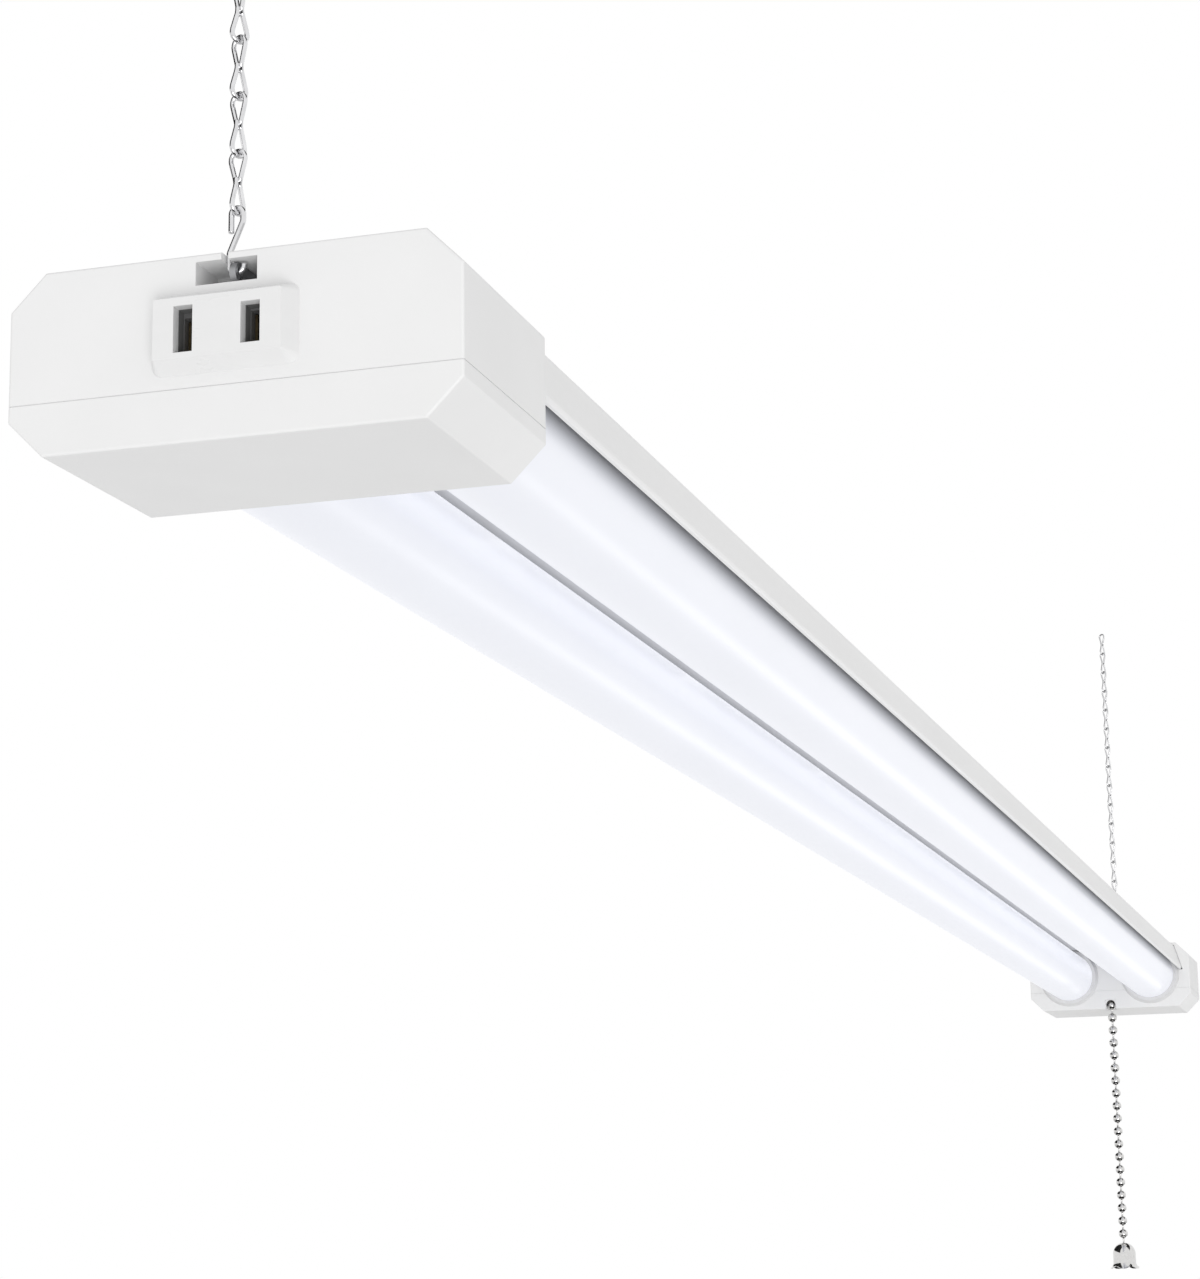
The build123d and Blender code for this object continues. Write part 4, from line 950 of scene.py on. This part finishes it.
# %% Give every slot its material
materials = {
    "housing_white": powder_coat(),
    "cap_white": cap_plastic(),
    "socket_white": socket_plastic(),
    "frosted_lens": frosted_tube(),
    "collar_grey": seal_rubber(),
    "chain_wire": chain_wire(),
    "bead_chrome": bright_beads(),
    "zinc_sheet": zinc_sheet(),
    "zinc_screws": zinc_sheet("zinc_plated_screw", 700),
    "spring_steel": spring_wire(),
    "bare_aluminium": bare_aluminium(),
    "brass_contact": stamped_brass(),
    "circuit_board": circuit_board(),
    "led_package": phosphor(),
    "copper_choke": wound_copper(),
    "board_white": plain_plastic("white_solder_mask", (0.78, 0.78, 0.78), (0.84, 0.84, 0.84),
                                 (0.3, 0.4)),
    "inner_plastic": plain_plastic("natural_nylon", (0.66, 0.65, 0.62), (0.74, 0.73, 0.70)),
    "slider_plastic": plain_plastic("dark_acetal", (0.035, 0.035, 0.04), (0.06, 0.06, 0.065)),
    "grommet_rubber": plain_plastic("light_rubber", (0.62, 0.62, 0.61), (0.70, 0.70, 0.69),
                                    (0.55, 0.7)),
    "capacitor_can": plain_plastic("capacitor_sleeve", (0.02, 0.02, 0.045), (0.035, 0.035, 0.07),
                                   (0.2, 0.3)),
    "ferrite_black": plain_plastic("ferrite_and_tape", (0.02, 0.02, 0.022), (0.05, 0.05, 0.055)),
    "wire_black": plain_plastic("black_insulation", (0.012, 0.012, 0.013), (0.025, 0.025, 0.027),
                                (0.3, 0.42)),
    "wire_white": plain_plastic("white_insulation", (0.72, 0.72, 0.70), (0.8, 0.8, 0.78), (0.3, 0.42)),
    "wire_blue": plain_plastic("blue_insulation", (0.02, 0.05, 0.3), (0.035, 0.08, 0.4), (0.3, 0.42)),
}
slot_of = {row["node"]: row["material_slot"] for row in frame["record"]["subparts"]}
for name, node in nodes.items():
    node.data.materials.clear()
    node.data.materials.append(materials[slot_of[name]])
for piece in chain_pieces + hook_pieces:
    piece.data.materials.append(materials["chain_wire"])
for piece in pull_pieces + [bell]:
    piece.data.materials.append(materials["bead_chrome"])
for piece in tube_pieces:
    piece.data.materials.append(materials["frosted_lens"])
chain_guide.data.materials.append(materials["cap_white"])
spring.data.materials.append(materials["spring_steel"])
print("materials:", len(materials))

# %% [markdown]
# ## Studio
#
# The light hangs in a plain white studio, above a pale floor. An image of a studio could light it,
# but a plain world and two lamps are easier to steer. The background is white because of its own
# colour, and the lamps stay at a level where a colour renders about as it is written. A large lamp
# below the socket end lights the caps, and a small one beyond the far end draws the bright band along
# both tubes.


# %% Floor
def flat_stage(name, corners, paint):
    """A flat, four-cornered piece of the studio, with its paint."""
    mesh = bpy.data.meshes.new(name)
    mesh.from_pydata(corners, [], [(0, 1, 2, 3)])
    mesh.materials.append(paint.material)
    made = bpy.data.objects.new(name, mesh)
    bpy.context.scene.collection.objects.link(made)
    return made


def level_square(half, z):
    """Corners of a level square about the middle, at a height."""
    return [(-half, -half, z), (half, -half, z), (half, half, z), (-half, half, z)]


floor_z = -6.0
floor_half = 30.0
floor_paint = Finish("pale_floor")
floor_paint.colour(floor_paint.noise(2, detail=2), (0.86, 0.86, 0.86), (0.88, 0.88, 0.88))
floor_paint.set(Roughness=0.9)
flat_stage("floor", level_square(floor_half, floor_z), floor_paint)
print("floor", -floor_z, "m below the ceiling line")

# %% White surroundings
ambient = 0.8
world = bpy.data.worlds.new("white_studio")
bpy.context.scene.world = world
world.use_nodes = True
sky = world.node_tree.nodes
background = sky["Background"]
path = sky.new("ShaderNodeLightPath")
seen = sky.new("ShaderNodeMath")
seen.operation = "MAXIMUM"
seen_or_through = sky.new("ShaderNodeMath")
seen_or_through.operation = "MAXIMUM"
level = sky.new("ShaderNodeMapRange")
level.inputs["To Min"].default_value = ambient
level.inputs["To Max"].default_value = 1.0
wires = world.node_tree.links
wires.new(path.outputs["Is Camera Ray"], seen.inputs[0])
wires.new(path.outputs["Is Glossy Ray"], seen.inputs[1])
wires.new(seen.outputs[0], seen_or_through.inputs[0])
wires.new(path.outputs["Is Transmission Ray"], seen_or_through.inputs[1])
wires.new(seen_or_through.outputs[0], level.inputs["Value"])
wires.new(level.outputs["Result"], background.inputs["Strength"])
background.inputs["Color"].default_value = (1, 1, 1, 1)


# %% Lamps
def soft_lamp(name, place, aim, size, power):
    """A rectangular lamp at a place, facing a point. size is its width and its length."""
    data = bpy.data.lights.new(name, "AREA")
    data.shape = "RECTANGLE"
    data.size, data.size_y = size
    data.energy = power
    lamp = bpy.data.objects.new(name, data)
    facing = (Vector(aim) - Vector(place)).to_track_quat("-Z", "Y")
    lamp.matrix_world = Matrix.Translation(place) @ facing.to_matrix().to_4x4()
    bpy.context.scene.collection.objects.link(lamp)
    lamp.visible_camera = False
    return lamp


half_height = 17 * MM
middle_z = underside + half_height
middle = Vector((0, 0, middle_z))
key_direction = Vector((-0.80, -0.34, -0.49))
key_distance = 8.0
key_size, key_power = (4.0, 4.0), 225
soft_lamp("key_lamp", middle + key_direction.normalized() * key_distance, middle, key_size, key_power)
band_way = Vector((4.6, -1.05, -1.45))
band_size, band_power = (0.5, 0.5), 5
soft_lamp("band_lamp", middle + band_way, middle, band_size, band_power)
print("lamps:", key_power, "W and", band_power, "W")

# %% [markdown]
# ### Dark cards
#
# Bright wire in an all-white room has no edges. Darker wire would have them, but its middle would go
# grey as well. A studio stands black cards just outside the view instead, and the wire's sides mirror
# them as dark lines. Only mirror rays see these cards, so they take no light away.

# %% Black cards above, beside and below the light
card_paint = Finish("black_card")
card_paint.colour(card_paint.noise(3, detail=2), (0.006, 0.006, 0.006), (0.01, 0.01, 0.01))
card_paint.set(Roughness=1.0)


def standing_card(distance, bearings, heights):
    """Corners of an upright card between two bearings, in degrees from +X, at a distance."""
    feet = [(distance * cos(radians(a)), distance * sin(radians(a))) for a in bearings]
    low, high = heights
    return [(*feet[0], low), (*feet[1], low), (*feet[1], high), (*feet[0], high)]


card_distance = 5.0
low_card_half, low_card_z = 3.6, -3.4
cards = {
    "left_card": standing_card(card_distance, (32, 140), (0.6, 12.0)),
    "right_card": standing_card(card_distance, (2, -105), (2.6, 14.0)),
    "low_card": level_square(low_card_half, low_card_z),
}
for name, corners in cards.items():
    card = flat_stage(name, corners, card_paint)
    card.visible_camera = False
    card.visible_diffuse = False
    card.visible_shadow = False
    card.visible_transmission = False
print("cards:", list(cards))

# %% [markdown]
# ## Camera
#
# The camera stands low at the socket end and looks up along the light. A Track To constraint could
# aim it, but it would fix only two of the three turns. So its heading, pitch and roll are turned one
# after the other from a camera that looks along +X.

# %% The camera
camera_place = (-1.06934, -0.20389, underside - 0.14537)
nearest, farthest = 0.01, 200
heading, pitch, roll = 16.669, 12.294, -0.849
sensor = 36.0
focal_length = 84.18
camera_data = bpy.data.cameras.new("camera")
camera_data.lens = focal_length
camera_data.sensor_width = sensor
camera_data.clip_start = nearest
camera_data.clip_end = farthest
camera = bpy.data.objects.new("camera", camera_data)
bpy.context.scene.collection.objects.link(camera)
level_view = Matrix(((0, 0, -1), (-1, 0, 0), (0, 1, 0))).to_4x4()
turn = Matrix.Rotation(radians(heading), 4, "Z") @ Matrix.Rotation(-radians(pitch), 4, "Y")
turn = turn @ Matrix.Rotation(-radians(roll), 4, "X")
camera.matrix_world = Matrix.Translation(camera_place) @ turn @ level_view
bpy.context.scene.camera = camera
bpy.context.scene.view_settings.view_transform = "Standard"
print("camera", [round(value, 3) for value in camera_place], "lens", focal_length, "mm")
